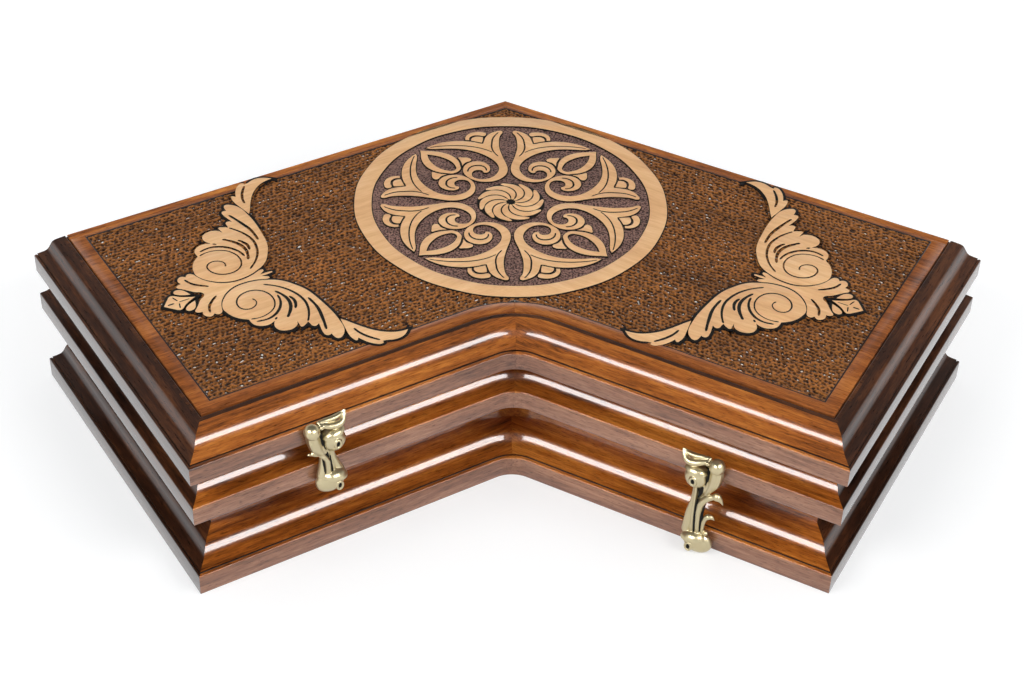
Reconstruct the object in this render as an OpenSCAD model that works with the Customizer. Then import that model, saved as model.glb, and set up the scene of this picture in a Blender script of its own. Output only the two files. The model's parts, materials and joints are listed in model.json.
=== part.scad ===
// Closed backgammon set for three players: three chevron leaves, stacked and hinged,
// that fold out into one three-armed board. The point of the chevron faces away (+Y),
// the notch faces the viewer (-Y), and the set stands on the rim of its lower leaf.

/* [Leaf outline] */
// Length of an arm along its outer side
arm_length = 306; // [290:1:340]
// Width of an arm, outer side to inner side
arm_width = 204; // [192:1:216]
// Radius of the rounded notch between the two arms
notch_radius = 16.5; // [10:0.5:22]

/* [Leaf build] */
// Height of one leaf, rim to back
leaf_height = 30.8; // [29:0.1:34]
// Gap between two closed leaves
leaf_gap = 0.3; // [0.2:0.05:0.8]
// Width of the moulding on the arm ends
end_mould = 20; // [17:0.5:23]
// Width of the moulding on the inner sides
inner_mould = 27.5; // [24:0.5:30]
// Thickness of the tray wall behind the end moulding
end_wall = 8; // [7:0.5:10]
// Thickness of the flat outer wall that carries the hinges
outer_wall = 12; // [11:0.5:14]
// Width of the outer wall's strip beside the carved panel
outer_strip = 4.5; // [3:0.5:6]
// Wood left between a hinge plate and the plain panels of the two lower leaves
strip_margin = 1.5; // [0.8:0.1:2]
// Thickness of the back panel
panel_thick = 6; // [5:0.25:7]
// Thickness of the playing field board
field_thick = 3; // [2:0.25:4]
// Lip that hides the panel's edge on the two lower leaves
panel_lip = 3; // [2:0.25:4]
// Clearance round each board in its frame
board_clear = 0.1; // [0.05:0.05:0.2]

/* [Moulding] */
// Height of the upper leaf's fillet
upper_fillet = 11; // [9:0.25:13]
// Height of the middle leaf's fillet
middle_fillet = 12.3; // [10:0.25:14]
// Height of the lower leaf's fillet
lower_fillet = 12.5; // [10:0.25:14]
// Width of the flat bead above a fillet, on the ends
bead_width = 3; // [1:0.1:4]
// Run of the quarter round above the bead, on the ends
round_run = 6.4; // [4:0.1:8]
// Rise of the quarter round
round_rise = 6.6; // [5:0.1:8]
// Width of the groove between moulding and panel, on the ends
groove_width = 1; // [0.5:0.1:1.5]
// Depth of that groove
groove_depth = 1.2; // [0.5:0.1:2]
// Rise of the middle leaf's sloping top edge
slope_rise = 2; // [1:0.1:3]
// Run of that slope, on the ends
slope_run = 7.4; // [5:0.1:10]
// Rounding under the middle leaf's fillet, on the ends
under_round = 2.6; // [1:0.1:4]

/* [Carved panel] */
// Width of the plain border along the mouldings
border_width = 8; // [6:0.5:10]
// Width of the border line along the outer strip
border_line = 1.5; // [1:0.1:3]
// Depth of the tooled ground
ground_depth = 1; // [0.5:0.1:1.5]
// Distance of the medallion's centre from the apex
medal_centre = 108.4; // [104:0.1:110]
// Outer radius of the medallion's ring
medal_radius = 89.2; // [80:0.1:90]
// Width of the ring
medal_band = 9.7; // [7:0.1:12]
// Radius of the rosette at the medallion's centre
rosette_radius = 18.9; // [12:0.1:20]
// Distance of a spray's axis from the outer side
spray_axis = 86.6; // [84:0.1:89]
// Place of a spray's volutes along the arm
spray_place = 225.5; // [222:0.5:228]
// Radius of a spray's volutes
scroll_radius = 14.5; // [12:0.1:15]
// Distance of a volute's centre from the spray's axis
scroll_spread = 18; // [16:0.1:20]
// Radius of the round lobe beside a volute
lobe_radius = 6.6; // [5:0.1:8]
// Length of the body leaf between the volutes
body_leaf = 48; // [44:0.5:52]
// Width of the body leaf
body_leaf_width = 24; // [18:0.5:28]
// Length of the long side leaf
side_leaf = 62; // [56:0.5:66]
// Width of the long side leaf
side_leaf_width = 16; // [12:0.5:18]
// Length of the tail leaf
tail_leaf = 38; // [34:0.5:42]
// Width of the tail leaf
tail_leaf_width = 9; // [7:0.5:11]
// Length of the end bud
bud_length = 19; // [16:0.5:22]
// Width of the end bud
bud_width = 13.5; // [10:0.5:15]

/* [Playing field] */
// Points on each arm
points_per_arm = 6; // [6:1:6]
// Distance from point to point
point_pitch = 25.2; // [22:0.1:25.5]
// Gap between neighbouring points at the base
point_gap = 1.6; // [1:0.1:4]
// Length of a point
point_length = 116; // [100:1:125]
// Distance of the points' base from the tray wall
point_margin = 1.5; // [1:0.1:3]
// Thickness of a point's inlay
inlay_thick = 1; // [0.6:0.1:1.5]
// Clearance round an inlay
inlay_clear = 0.05; // [0.03:0.01:0.1]

/* [Game pieces] */
// Radius of a checker
checker_radius = 11.9; // [9:0.1:12]
// Thickness of a checker
checker_thick = 8; // [6:0.25:10]
// Gap between stowed checkers
checker_gap = 0.6; // [0.4:0.1:1]
// Checkers in a row
checkers_per_row = 5; // [5:1:5]
// Rim of a checker round its dished face
checker_rim = 2.4; // [1.5:0.1:3]
// Edge rounding and dish depth of a checker
checker_edge = 0.9; // [0.4:0.1:1.2]
// Side of a die
die_side = 12; // [9:0.5:14]
// Gap between the two dice
die_gap = 8; // [4:0.5:12]

/* [Hinges] */
// Length of a hinge
hinge_length = 40; // [34:1:50]
// Place of the first hinge along the outer side
hinge_first = 75; // [60:1:100]
// Distance from the first hinge to the second
hinge_spacing = 150; // [120:1:160]
// Width of a hinge plate
plate_width = 9; // [8:0.25:10]
// Thickness of a hinge plate
plate_thick = 1.2; // [1:0.05:1.6]
// Outer radius of a knuckle
knuckle_radius = 2.2; // [1.9:0.05:2.6]
// Distance of the hinge axis outside the outer face
axis_offset = 0.4; // [0.3:0.05:0.6]
// Radius of the hinge pin
pin_radius = 1.1; // [0.9:0.05:1.2]
// Clearance round a pin
pin_clear = 0.05; // [0.03:0.01:0.09]
// Clearance between a knuckle and what it turns past
knuckle_clear = 0.3; // [0.2:0.05:0.5]
// Radius of a screw's shank
screw_radius = 1; // [0.8:0.05:1.2]
// Length of a screw under its head
screw_length = 7; // [5:0.5:9]
// Distance between the screws of a plate
screw_spacing = 13; // [11:0.5:14]
// Distance of the screws from the outer face
screw_inset = 5.6; // [5:0.1:6]
// Clearance round a screw
screw_clear = 0.05; // [0.03:0.01:0.1]

/* [Latches] */
// Place of the latches along the arm
latch_place = 229.5; // [205:0.5:240]
// Height of the catch stud above the lower edge of the middle leaf's fillet
middle_stud_rise = 4.6; // [4:0.1:6]
// Height of the catch stud above the floor on the lower leaf
lower_stud_height = 9; // [8.6:0.1:10]
// Thickness of a hook's casting
hook_thick = 4.2; // [3:0.1:5]
// Step down from the casting's front to its leaves
blade_step = 0.6; // [0.4:0.1:0.8]
// Gap between a hook and the wood
hook_gap = 0.7; // [0.5:0.1:1.2]
// Width of a hook's waist
waist_width = 7; // [5:0.1:8]
// Radius of the flutes down a hook's stem
flute_radius = 0.9; // [0.6:0.1:1.1]
// Radius of the volute at a hook's head
volute_radius = 6.6; // [6:0.1:7.5]
// Radius of the ball beside the volute
ball_radius = 4.2; // [3.5:0.1:5]
// Rise of the ball above the casting
ball_proud = 3; // [1:0.1:4]
// Sideways distance of the ball from the pivot
ball_reach = 10; // [9:0.1:11]
// Height of the ball above the pivot
ball_rise = 7.4; // [6:0.1:7.8]
// Length of the sheath leaf that runs from the ball to the waist
sheath_length = 23; // [20:0.5:25]
// Width of the sheath leaf
sheath_width = 8; // [6:0.1:9]
// Length of the horn leaf over the volute
horn_length = 15; // [12:0.5:17]
// Width of the horn leaf
horn_width = 5; // [4:0.1:6]
// Length of a side curl on a stem
curl_length = 13; // [10:0.5:15]
// Width of a side curl
curl_width = 4.6; // [3:0.1:6]
// Radius of the shell at a hook's foot
shell_radius = 7.8; // [6.5:0.1:8]
// Rise of the foot's dome above the casting
foot_rise = 2.8; // [2:0.1:3.2]
// Depth of the stud's slot from the back of the hook
slot_depth = 3.4; // [3:0.1:3.6]
// Radius of the eye through the shell and the volute
eye_radius = 1.1; // [0.8:0.1:1.3]
// Radius of the pivot pin and of the catch stud
stud_radius = 1.5; // [1.2:0.05:1.8]
// Clearance of the hook's bore on its pivot
pivot_clear = 0.05; // [0.03:0.01:0.09]
// Clearance of the hook's slot round the stud
slot_clear = 0.3; // [0.2:0.05:0.5]
// Radius of the domed heads
head_radius = 4.4; // [3.4:0.1:4.8]
// Rise of the domed heads
head_rise = 2.8; // [2:0.1:3.2]
// Depth of the pin and the stud in the wood
stud_depth = 9; // [7:0.5:12]
// Radius of the washer behind a hook
washer_radius = 4; // [3:0.1:4.5]

/* [Hidden] */
$fn = 64;
round_steps = 10;
tan_mitre = tan(30);

LEAVES = ["lower", "middle", "upper"];
SIDES = ["left", "right"];

// Levels of the closed stack
leaf_step = leaf_height + leaf_gap;
upper_axis_z = 2 * leaf_step - leaf_gap / 2;
lower_axis_z = leaf_step - leaf_gap / 2;
apex_y = (arm_length * sin(30) + arm_width * cos(30)) / 2;

// Insets from the outline: the inner sides repeat the ends' section, stretched
stretch = inner_mould / end_mould;
wall_inset = end_mould + end_wall;
lip_inset = end_mould + panel_lip;
border_end = end_mould + border_width;
border_inner = inner_mould + border_width;
function strip_width(leaf) = leaf == "upper" ? outer_strip : plate_width + strip_margin;

// Centre of the notch's rounding
notch_t = arm_width + notch_radius;
notch_s = notch_t * tan_mitre;

// Heights inside one leaf, measured from its lower side when closed
upper_fillet_z = leaf_height - round_rise - upper_fillet;
middle_fillet_top = leaf_height - slope_rise;
middle_fillet_z = middle_fillet_top - middle_fillet;
panel_seat = leaf_height - panel_thick;

// Points and stowed pieces
point_base = arm_width - wall_inset * stretch - point_margin;
first_point = arm_length - wall_inset - point_pitch * points_per_arm;
field_top = leaf_step + panel_thick + field_thick;

// Latches: heights of the two pivots and of the two studs
left_pivot_z = 2 * leaf_step + upper_fillet_z + upper_fillet / 2;
right_pivot_z = leaf_step + middle_fillet_z + middle_fillet / 2;
left_stud_z = leaf_step + middle_fillet_z + middle_stud_rise;
right_stud_z = lower_stud_height;
head_start = hook_gap + hook_thick + slot_clear;

WALNUT = "#6b3a22";
PANEL = "#5a2f1c";
MAPLE = "#d9a765";
FIELD = "#b98554";
EBONY = "#2c1a12";
BRASS = "#9a8454";

function level(leaf) = leaf == "upper" ? 2 * leaf_step : leaf == "middle" ? leaf_step : 0;

// Elliptic arc as points
function arc(cx, cz, rx, rz, from, to) = [
    for (i = [0:round_steps])
        let (a = from + (to - from) * i / round_steps) [cx + rx * cos(a), cz + rz * sin(a)]
];

// Sections of the moulded rails: inset from the outline against height in the leaf
function upper_section(k) = concat(
    [[0, upper_fillet_z], [0, leaf_height - round_rise]],
    arc(k * (bead_width + round_run), leaf_height - round_rise, k * round_run, round_rise, 180, 90),
    [[k * (end_mould - groove_width), leaf_height], [k * end_mould, leaf_height - groove_depth],
     [k * end_mould, panel_seat], [k * wall_inset, panel_seat], [k * wall_inset, 0],
     [k * end_mould, 0], [k * end_mould, upper_fillet_z]]);

function middle_section(k) = concat(
    arc(k * under_round, middle_fillet_z + under_round, k * under_round, under_round, 270, 180),
    [[0, middle_fillet_top], [k * slope_run, leaf_height], [k * wall_inset, leaf_height],
     [k * wall_inset, panel_thick], [k * lip_inset, panel_thick], [k * lip_inset, 0],
     [k * end_mould, 0], [k * end_mould, middle_fillet_z]]);

function lower_section(k) = concat(
    [[0, 0], [0, lower_fillet]],
    arc(k * (bead_width + round_run), lower_fillet, k * round_run, round_rise, 180, 90),
    [[k * end_mould, lower_fillet + round_rise], [k * end_mould, leaf_height],
     [k * lip_inset, leaf_height], [k * lip_inset, panel_seat], [k * wall_inset, panel_seat],
     [k * wall_inset, 0]]);

function section(leaf, k) =
    leaf == "upper" ? upper_section(k) : leaf == "middle" ? middle_section(k) : lower_section(k);

// Places children in an arm's own frame: x along the arm, -y inward from its outer side
module on_arm(side) {
    mirror([side == "left" ? 1 : 0, 0, 0])
        translate([0, apex_y, 0]) rotate(-30) children();
}

// Board that fills one arm inside given insets, up to the centre line
module arm_board(outer, end, inner, thick) {
    difference() {
        linear_extrude(thick) polygon([
            [outer * tan_mitre, -outer], [arm_length - end, -outer],
            [arm_length - end, inner - arm_width], [notch_s, inner - arm_width],
            [notch_s, -notch_t]
        ]);
        translate([notch_s, -notch_t, -1]) cylinder(r = notch_radius + inner, h = thick + 2);
    }
}

// Part of a ring that lies in this arm's half, round the medallion's centre
module medal_disc(radius, thick) {
    translate([medal_centre * sin(30), -medal_centre * cos(30), 0]) cylinder(r = radius, h = thick);
}

// Raised work of the carved panel: ring, rosette and the arm's scroll spray
module medal(thick) {
    difference() {
        medal_disc(medal_radius, thick);
        translate([0, 0, -1]) medal_disc(medal_radius - medal_band, thick + 2);
    }
    medal_disc(rosette_radius, thick);
    spray(thick);
}

// Outline of a scroll spray, alike on both sides of its axis
module spray(thick) {
    root = scroll_radius * 1.4;
    translate([spray_place, -spray_axis, 0]) {
        translate([-root, 0, 0]) leaf_blade(body_leaf, body_leaf_width, thick);
        translate([scroll_radius * 1.5, 0, 0]) leaf_blade(bud_length, bud_width, thick);
        for (half = [0, 1]) mirror([0, half, 0]) {
            translate([0, scroll_spread, 0]) cylinder(r = scroll_radius, h = thick);
            translate([-1.5 * lobe_radius, scroll_spread + 4 * lobe_radius, 0])
                cylinder(r = lobe_radius, h = thick);
            translate([-root, scroll_spread / 2, 0]) rotate(98)
                leaf_blade(side_leaf, side_leaf_width, thick);
            translate([-1.8 * root, side_leaf - lobe_radius, 0]) rotate(135)
                leaf_blade(tail_leaf, tail_leaf_width, thick);
        }
    }
}

module upper_panel(side) {
    color(PANEL) on_arm(side) translate([0, 0, level("upper") + panel_seat]) difference() {
        arm_board(outer_strip + board_clear, end_mould + board_clear,
                  inner_mould + board_clear, panel_thick);
        difference() {
            translate([0, 0, panel_thick - ground_depth])
                arm_board(outer_strip + border_line, border_end, border_inner,
                          ground_depth + 1);
            translate([0, 0, panel_thick - ground_depth - 1]) medal(ground_depth + 3);
        }
    }
}

module back_panel(leaf, side) {
    z = leaf == "lower" ? panel_seat : 0;
    color(PANEL) on_arm(side) translate([0, 0, level(leaf) + z])
        arm_board(strip_width(leaf) + board_clear, lip_inset + board_clear,
                  lip_inset * stretch + board_clear, panel_thick);
}

// Flat wall on an arm's outer side, rabbeted for the panel and cut for its hinges
module outer_rail(leaf, side) {
    strip_end = arm_length - (leaf == "upper" ? end_mould : lip_inset);
    wall_end = arm_length - wall_inset;
    wall_z = leaf == "middle" ? panel_thick : 0;
    strip_z = leaf == "middle" ? 0 : panel_seat;
    strip = strip_width(leaf);
    color(WALNUT) on_arm(side) difference() {
        translate([0, 0, level(leaf)]) union() {
            translate([0, 0, strip_z]) linear_extrude(panel_thick) polygon([
                [0, 0], [strip_end, 0], [strip_end, -strip], [strip * tan_mitre, -strip]
            ]);
            translate([0, 0, wall_z]) linear_extrude(leaf_height - panel_thick) polygon([
                [0, 0], [wall_end, 0], [wall_end, -outer_wall],
                [outer_wall * tan_mitre, -outer_wall]
            ]);
        }
        if (side == "left" && leaf == "upper") hinge_cuts(upper_axis_z, 1);
        if (side == "left" && leaf == "middle") hinge_cuts(upper_axis_z, -1);
        if (side == "right" && leaf == "middle") hinge_cuts(lower_axis_z, 1);
        if (side == "right" && leaf == "lower") hinge_cuts(lower_axis_z, -1);
    }
}

// Half plane on one side of the mitre at a near corner, as a tall prism
module mitre_side(end_side) {
    far_s = arm_length + wall_inset;
    far_t = arm_width + wall_inset * stretch;
    near_s = arm_length - 2 * wall_inset;
    near_t = arm_width - 2 * wall_inset * stretch;
    translate([0, 0, -1]) linear_extrude(leaf_height + 2) polygon(end_side
        ? [[far_s, -far_t], [near_s, -near_t], [near_s, 1], [far_s, 1]]
        : [[far_s, -far_t], [near_s, -near_t], [notch_s - 1, -near_t], [notch_s - 1, -far_t]]);
}

// Moulded rail across an arm's end, mitred at the near corner
module end_rail(leaf, side) {
    color(WALNUT) on_arm(side) translate([0, 0, level(leaf)]) intersection() {
        translate([arm_length, 0, 0]) mirror([1, 0, 0]) rotate([90, 0, 0])
            linear_extrude(arm_width) polygon(section(leaf, 1));
        mitre_side(true);
    }
}

// Moulded rail along an arm's inner side, swept on round the notch to the centre line
module inner_rail(leaf, side) {
    profile = section(leaf, stretch);
    color(WALNUT) on_arm(side) difference() {
        translate([0, 0, level(leaf)]) union() {
            intersection() {
                translate([notch_s, -arm_width, 0]) rotate([90, 0, 90])
                    linear_extrude(arm_length - notch_s) polygon(profile);
                mitre_side(false);
            }
            translate([notch_s, -notch_t, 0]) rotate(90) rotate_extrude(angle = 30)
                polygon([for (p = profile) [p[0] + notch_radius, p[1]]]);
        }
        if (side == "left" && leaf == "upper") stud_hole(left_pivot_z);
        if (side == "left" && leaf == "middle") stud_hole(left_stud_z);
        if (side == "right" && leaf == "middle") stud_hole(right_pivot_z);
        if (side == "right" && leaf == "lower") stud_hole(right_stud_z);
    }
}

// Triangle of one point, grown by a clearance
module point_shape(i, grow, thick) {
    s = first_point + point_pitch * (i + 0.5);
    half = (point_pitch - point_gap) / 2 + grow;
    linear_extrude(thick) polygon([
        [s - half, -point_base - grow], [s + half, -point_base - grow],
        [s, point_length - point_base + grow]
    ]);
}

// Height of a leaf's inlays, and of its field board, in the closed stack
function inlay_z(leaf) = leaf == "middle" ? field_top - inlay_thick
    : level(leaf) + panel_seat - field_thick;
function field_z(leaf) = leaf == "middle" ? field_top - field_thick
    : level(leaf) + panel_seat - field_thick;

module field(leaf, side) {
    open = leaf == "middle" ? 0 : -1;
    color(FIELD) on_arm(side) difference() {
        translate([0, 0, field_z(leaf)])
            arm_board(outer_wall + board_clear, wall_inset + board_clear,
                      wall_inset * stretch + board_clear, field_thick);
        for (i = [0:points_per_arm - 1])
            translate([0, 0, inlay_z(leaf) + open]) point_shape(i, inlay_clear, inlay_thick + 1);
    }
}

// Every second point of a leaf, counted round both arms
module points(leaf, dark) {
    color(dark ? EBONY : MAPLE)
        for (side = SIDES, i = [0:points_per_arm - 1])
            if ((i + (side == "left" ? 1 : 0)) % 2 == (dark ? 0 : 1))
                on_arm(side) translate([0, 0, inlay_z(leaf)]) point_shape(i, 0, inlay_thick);
}

// Turns children so that their z axis runs along the arm, on a hinge axis
module on_axis(z) {
    for (i = [0, 1])
        translate([hinge_first + i * hinge_spacing, axis_offset, z]) children();
}

module axis_rod(radius, from, to) {
    translate([from, 0, 0]) rotate([0, 90, 0]) cylinder(r = radius, h = to - from);
}

module screw_places() {
    for (i = [-1:1])
        translate([i * screw_spacing, -screw_inset - axis_offset, 0]) children();
}

// Countersunk screw, head down at z = 0 and shank upward, grown by a clearance
module screw(grow) {
    head = 2 * screw_radius;
    rotate_extrude() polygon([
        [0, 0], [head + grow, 0], [screw_radius + grow, screw_radius + grow],
        [screw_radius + grow, screw_length + grow], [0, screw_length + screw_radius + grow]
    ]);
}

// Mortises, knuckle relief and pilot holes in one rail; up is 1 above the axis, -1 below
module hinge_cuts(z, up) {
    half = hinge_length / 2 + board_clear;
    on_axis(z) mirror([0, 0, up > 0 ? 0 : 1]) {
        translate([-half, -plate_width - axis_offset - board_clear, -1])
            cube([2 * half, plate_width + 1 + board_clear + axis_offset,
                  plate_thick + leaf_gap / 2 + 1]);
        axis_rod(knuckle_radius + knuckle_clear, -half, half);
        translate([0, 0, leaf_gap / 2]) screw_places() screw(screw_clear);
    }
}

// One plate with its knuckles: the middle third above the axis, the outer thirds below
module hinge_plate(z, up) {
    third = hinge_length / 3;
    gap = knuckle_clear / 2;
    starts = up > 0 ? [-third / 2] : [-1.5 * third, third / 2];
    others = up > 0 ? [-1.5 * third, third / 2] : [-third / 2];
    color(BRASS) on_axis(z) mirror([0, 0, up > 0 ? 0 : 1]) difference() {
        union() {
            translate([-hinge_length / 2, -plate_width - axis_offset, leaf_gap / 2])
                cube([hinge_length, plate_width + axis_offset, plate_thick]);
            for (x = starts) {
                from = x + (x > -hinge_length / 2 ? gap : 0);
                to = x + third - (x + third < hinge_length / 2 - 0.01 ? gap : 0);
                axis_rod(knuckle_radius, from, to);
            }
        }
        for (x = others) axis_rod(knuckle_radius + knuckle_clear, x - gap, x + third + gap);
        axis_rod(pin_radius + pin_clear, -hinge_length, hinge_length);
        translate([0, 0, leaf_gap / 2]) screw_places() screw(screw_clear);
    }
}

module hinge_pins(z) {
    color(BRASS) on_axis(z) axis_rod(pin_radius, -hinge_length / 2, hinge_length / 2);
}

module hinge_screws(z, up) {
    color(BRASS) on_axis(z) mirror([0, 0, up > 0 ? 0 : 1])
        translate([0, 0, leaf_gap / 2]) screw_places() screw(0);
}

// Places children on an inner face: x along the arm, y upward, z out of the wood
module on_face(side, z) {
    on_arm(side) translate([latch_place, -arm_width, z]) rotate([90, 0, 0]) children();
}

module stud_hole(z) {
    translate([latch_place, -arm_width, z]) rotate([90, 0, 0])
        translate([0, 0, -stud_depth - pivot_clear])
            cylinder(r = stud_radius + pivot_clear, h = stud_depth + 1);
}

// Pivot pin driven into the wood, with a washer that holds the hook off and a domed head
module latch_pivot(side) {
    washer_end = hook_gap - pivot_clear;
    color(BRASS) on_face(side, side == "left" ? left_pivot_z : right_pivot_z)
        rotate_extrude() polygon(concat(
            [[0, -stud_depth], [stud_radius, -stud_depth], [stud_radius, 0], [washer_radius, 0],
             [washer_radius, washer_end], [stud_radius, washer_end], [stud_radius, head_start]],
            arc(0, head_start, head_radius, head_rise, 0, 90)));
}

// Catch stud driven into the wood, with a rounded end that stays inside the hook's slot
module latch_stud(side) {
    round_end = stud_radius / 2;
    straight = hook_gap + slot_depth - slot_clear - round_end;
    color(BRASS) on_face(side, side == "left" ? left_stud_z : right_stud_z)
        rotate_extrude() polygon(concat([[0, -stud_depth], [stud_radius, -stud_depth]],
            arc(0, straight, stud_radius, round_end, 0, 90)));
}

// Pointed leaf lying along x: where two equal discs meet
module leaf_blade(length, width, thick) {
    bend = (length * length + width * width) / (4 * width);
    intersection() {
        translate([length / 2, bend - width / 2, 0]) cylinder(r = bend, h = thick);
        translate([length / 2, width / 2 - bend, 0]) cylinder(r = bend, h = thick);
    }
}

// Round boss on the casting, with a domed edge
module boss(radius, rise) {
    rotate_extrude() polygon(concat([[0, 0], [radius, 0]],
        arc(0, hook_thick - radius / 3, radius, radius / 3 + rise, 0, 90)));
}

// Stem with hollow sides between the head and the foot, fluted down its front
module stem(drop) {
    hollow = drop * 0.62;
    half = shell_radius - blade_step;
    difference() {
        translate([-half, -drop, 0]) cube([2 * half, drop, hook_thick]);
        for (x = [-1, 1]) translate([x * (waist_width / 2 + hollow), -drop / 2, -1])
            cylinder(r = hollow, h = hook_thick + 2);
        for (x = [-1, 1]) translate([x * waist_width / 4, -volute_radius, hook_thick])
            rotate([90, 0, 0]) cylinder(r = flute_radius, h = drop - volute_radius - head_radius);
    }
}

// Cast scroll hook that hangs from its pivot, with a slot for the stud behind its foot, open sideways
module latch_hook(side) {
    pivot_z = side == "left" ? left_pivot_z : right_pivot_z;
    drop = pivot_z - (side == "left" ? left_stud_z : right_stud_z);
    slot = stud_radius + slot_clear;
    curls = side == "left" ? [[waist_width / 3, -1.7 * volute_radius, 15]]
        : [[0, -drop * 0.4, 24], [waist_width / 4, -drop * 0.78, 50]];
    eyes = [[-volute_radius / 2, -volute_radius * 0.7], [-shell_radius / 2, -drop - shell_radius / 2]];
    color(BRASS) on_face(side, pivot_z) translate([0, 0, hook_gap]) difference() {
        union() {
            boss(volute_radius, 0);
            translate([ball_reach, ball_rise, 0]) boss(ball_radius, ball_proud);
            translate([ball_reach + ball_radius / 2, ball_rise, 0]) rotate(250)
                leaf_blade(sheath_length, sheath_width, hook_thick - blade_step);
            translate([volute_radius, volute_radius, 0]) rotate(162)
                leaf_blade(horn_length, horn_width, hook_thick - blade_step);
            stem(drop);
            translate([0, -drop, 0]) boss(shell_radius, foot_rise);
            for (c = curls) translate([c[0], c[1], 0]) rotate(c[2])
                leaf_blade(curl_length, curl_width, hook_thick - 2 * blade_step);
        }
        translate([0, 0, -1]) cylinder(r = stud_radius + pivot_clear, h = hook_thick + 2);
        for (e = eyes) translate([e[0], e[1], -1])
            cylinder(r = eye_radius, h = hook_thick + foot_rise + 2);
        intersection() {
            difference() {
                translate([0, 0, -1]) cylinder(r = drop + slot, h = slot_depth + 1);
                translate([0, 0, -2]) cylinder(r = drop - slot, h = slot_depth + 3);
            }
            translate([-slot, -2 * drop, -3]) cube([slot + shell_radius + 1, 2 * drop, slot_depth + 6]);
        }
    }
}

// One checker: chamfered disc with a shallow dish on its upper face
module checker() {
    dish = checker_radius - checker_rim;
    rotate_extrude() polygon([
        [0, 0], [checker_radius - checker_edge, 0], [checker_radius, checker_edge],
        [checker_radius, checker_thick - checker_edge],
        [checker_radius - checker_edge, checker_thick], [dish, checker_thick],
        [dish - checker_edge, checker_thick - checker_edge], [0, checker_thick - checker_edge]
    ]);
}

// Rows of checkers stowed on the middle leaf's points, counted from the notch
module checker_rows(side, rows) {
    for (row = rows, i = [0:checkers_per_row - 1])
        on_arm(side) translate([
            first_point + point_pitch * (row + 0.5),
            (2 * checker_radius + checker_gap) * i + checker_radius + checker_gap - point_base,
            field_top
        ]) checker();
}

module checkers_light() { color(MAPLE) checker_rows("left", [3, 4, 5]); }

module checkers_dark() { color(EBONY) checker_rows("right", [3, 4, 5]); }

module checkers_red() {
    color("#8a2f22") {
        checker_rows("left", [1, 2]);
        checker_rows("right", [2]);
    }
}

// Two dice with rounded corners, laid on a free point
module dice() {
    s = first_point + point_pitch / 2;
    color("ivory") for (i = [-1, 1])
        on_arm("right") translate([s, i * (die_side + die_gap) / 2 - point_base + point_length / 2,
                                   field_top + die_side / 2])
            intersection() {
                cube(die_side, center = true);
                sphere(r = die_side * 0.72);
            }
}

for (side = SIDES) {
    upper_panel(side);
    for (leaf = ["lower", "middle"])
        back_panel(leaf, side);
    for (leaf = LEAVES) {
        outer_rail(leaf, side);
        inner_rail(leaf, side);
        end_rail(leaf, side);
        field(leaf, side);
    }
    latch_pivot(side);
    latch_hook(side);
    latch_stud(side);
}
for (leaf = LEAVES) {
    points(leaf, true);
    points(leaf, false);
}
on_arm("left") hinge_plate(upper_axis_z, 1);  // upper_fold_plates_upper
on_arm("left") hinge_plate(upper_axis_z, -1);  // upper_fold_plates_middle
on_arm("left") hinge_pins(upper_axis_z);  // upper_fold_pins
on_arm("left") hinge_screws(upper_axis_z, 1);  // upper_fold_screws_upper
on_arm("left") hinge_screws(upper_axis_z, -1);  // upper_fold_screws_middle
on_arm("right") hinge_plate(lower_axis_z, 1);  // lower_fold_plates_middle
on_arm("right") hinge_plate(lower_axis_z, -1);  // lower_fold_plates_lower
on_arm("right") hinge_pins(lower_axis_z);  // lower_fold_pins
on_arm("right") hinge_screws(lower_axis_z, 1);  // lower_fold_screws_middle
on_arm("right") hinge_screws(lower_axis_z, -1);  // lower_fold_screws_lower
checkers_light();
checkers_dark();
checkers_red();
dice();
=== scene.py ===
"""Closed three-player backgammon set: carved lid, moulded frames and two cast scroll latches."""

import json
import logging
import math
import random
from collections.abc import Callable, Iterable
from dataclasses import dataclass, replace
from enum import Enum, IntEnum
from functools import cached_property

import bmesh
import bpy
from mathutils import Matrix, Vector, noise

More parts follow.
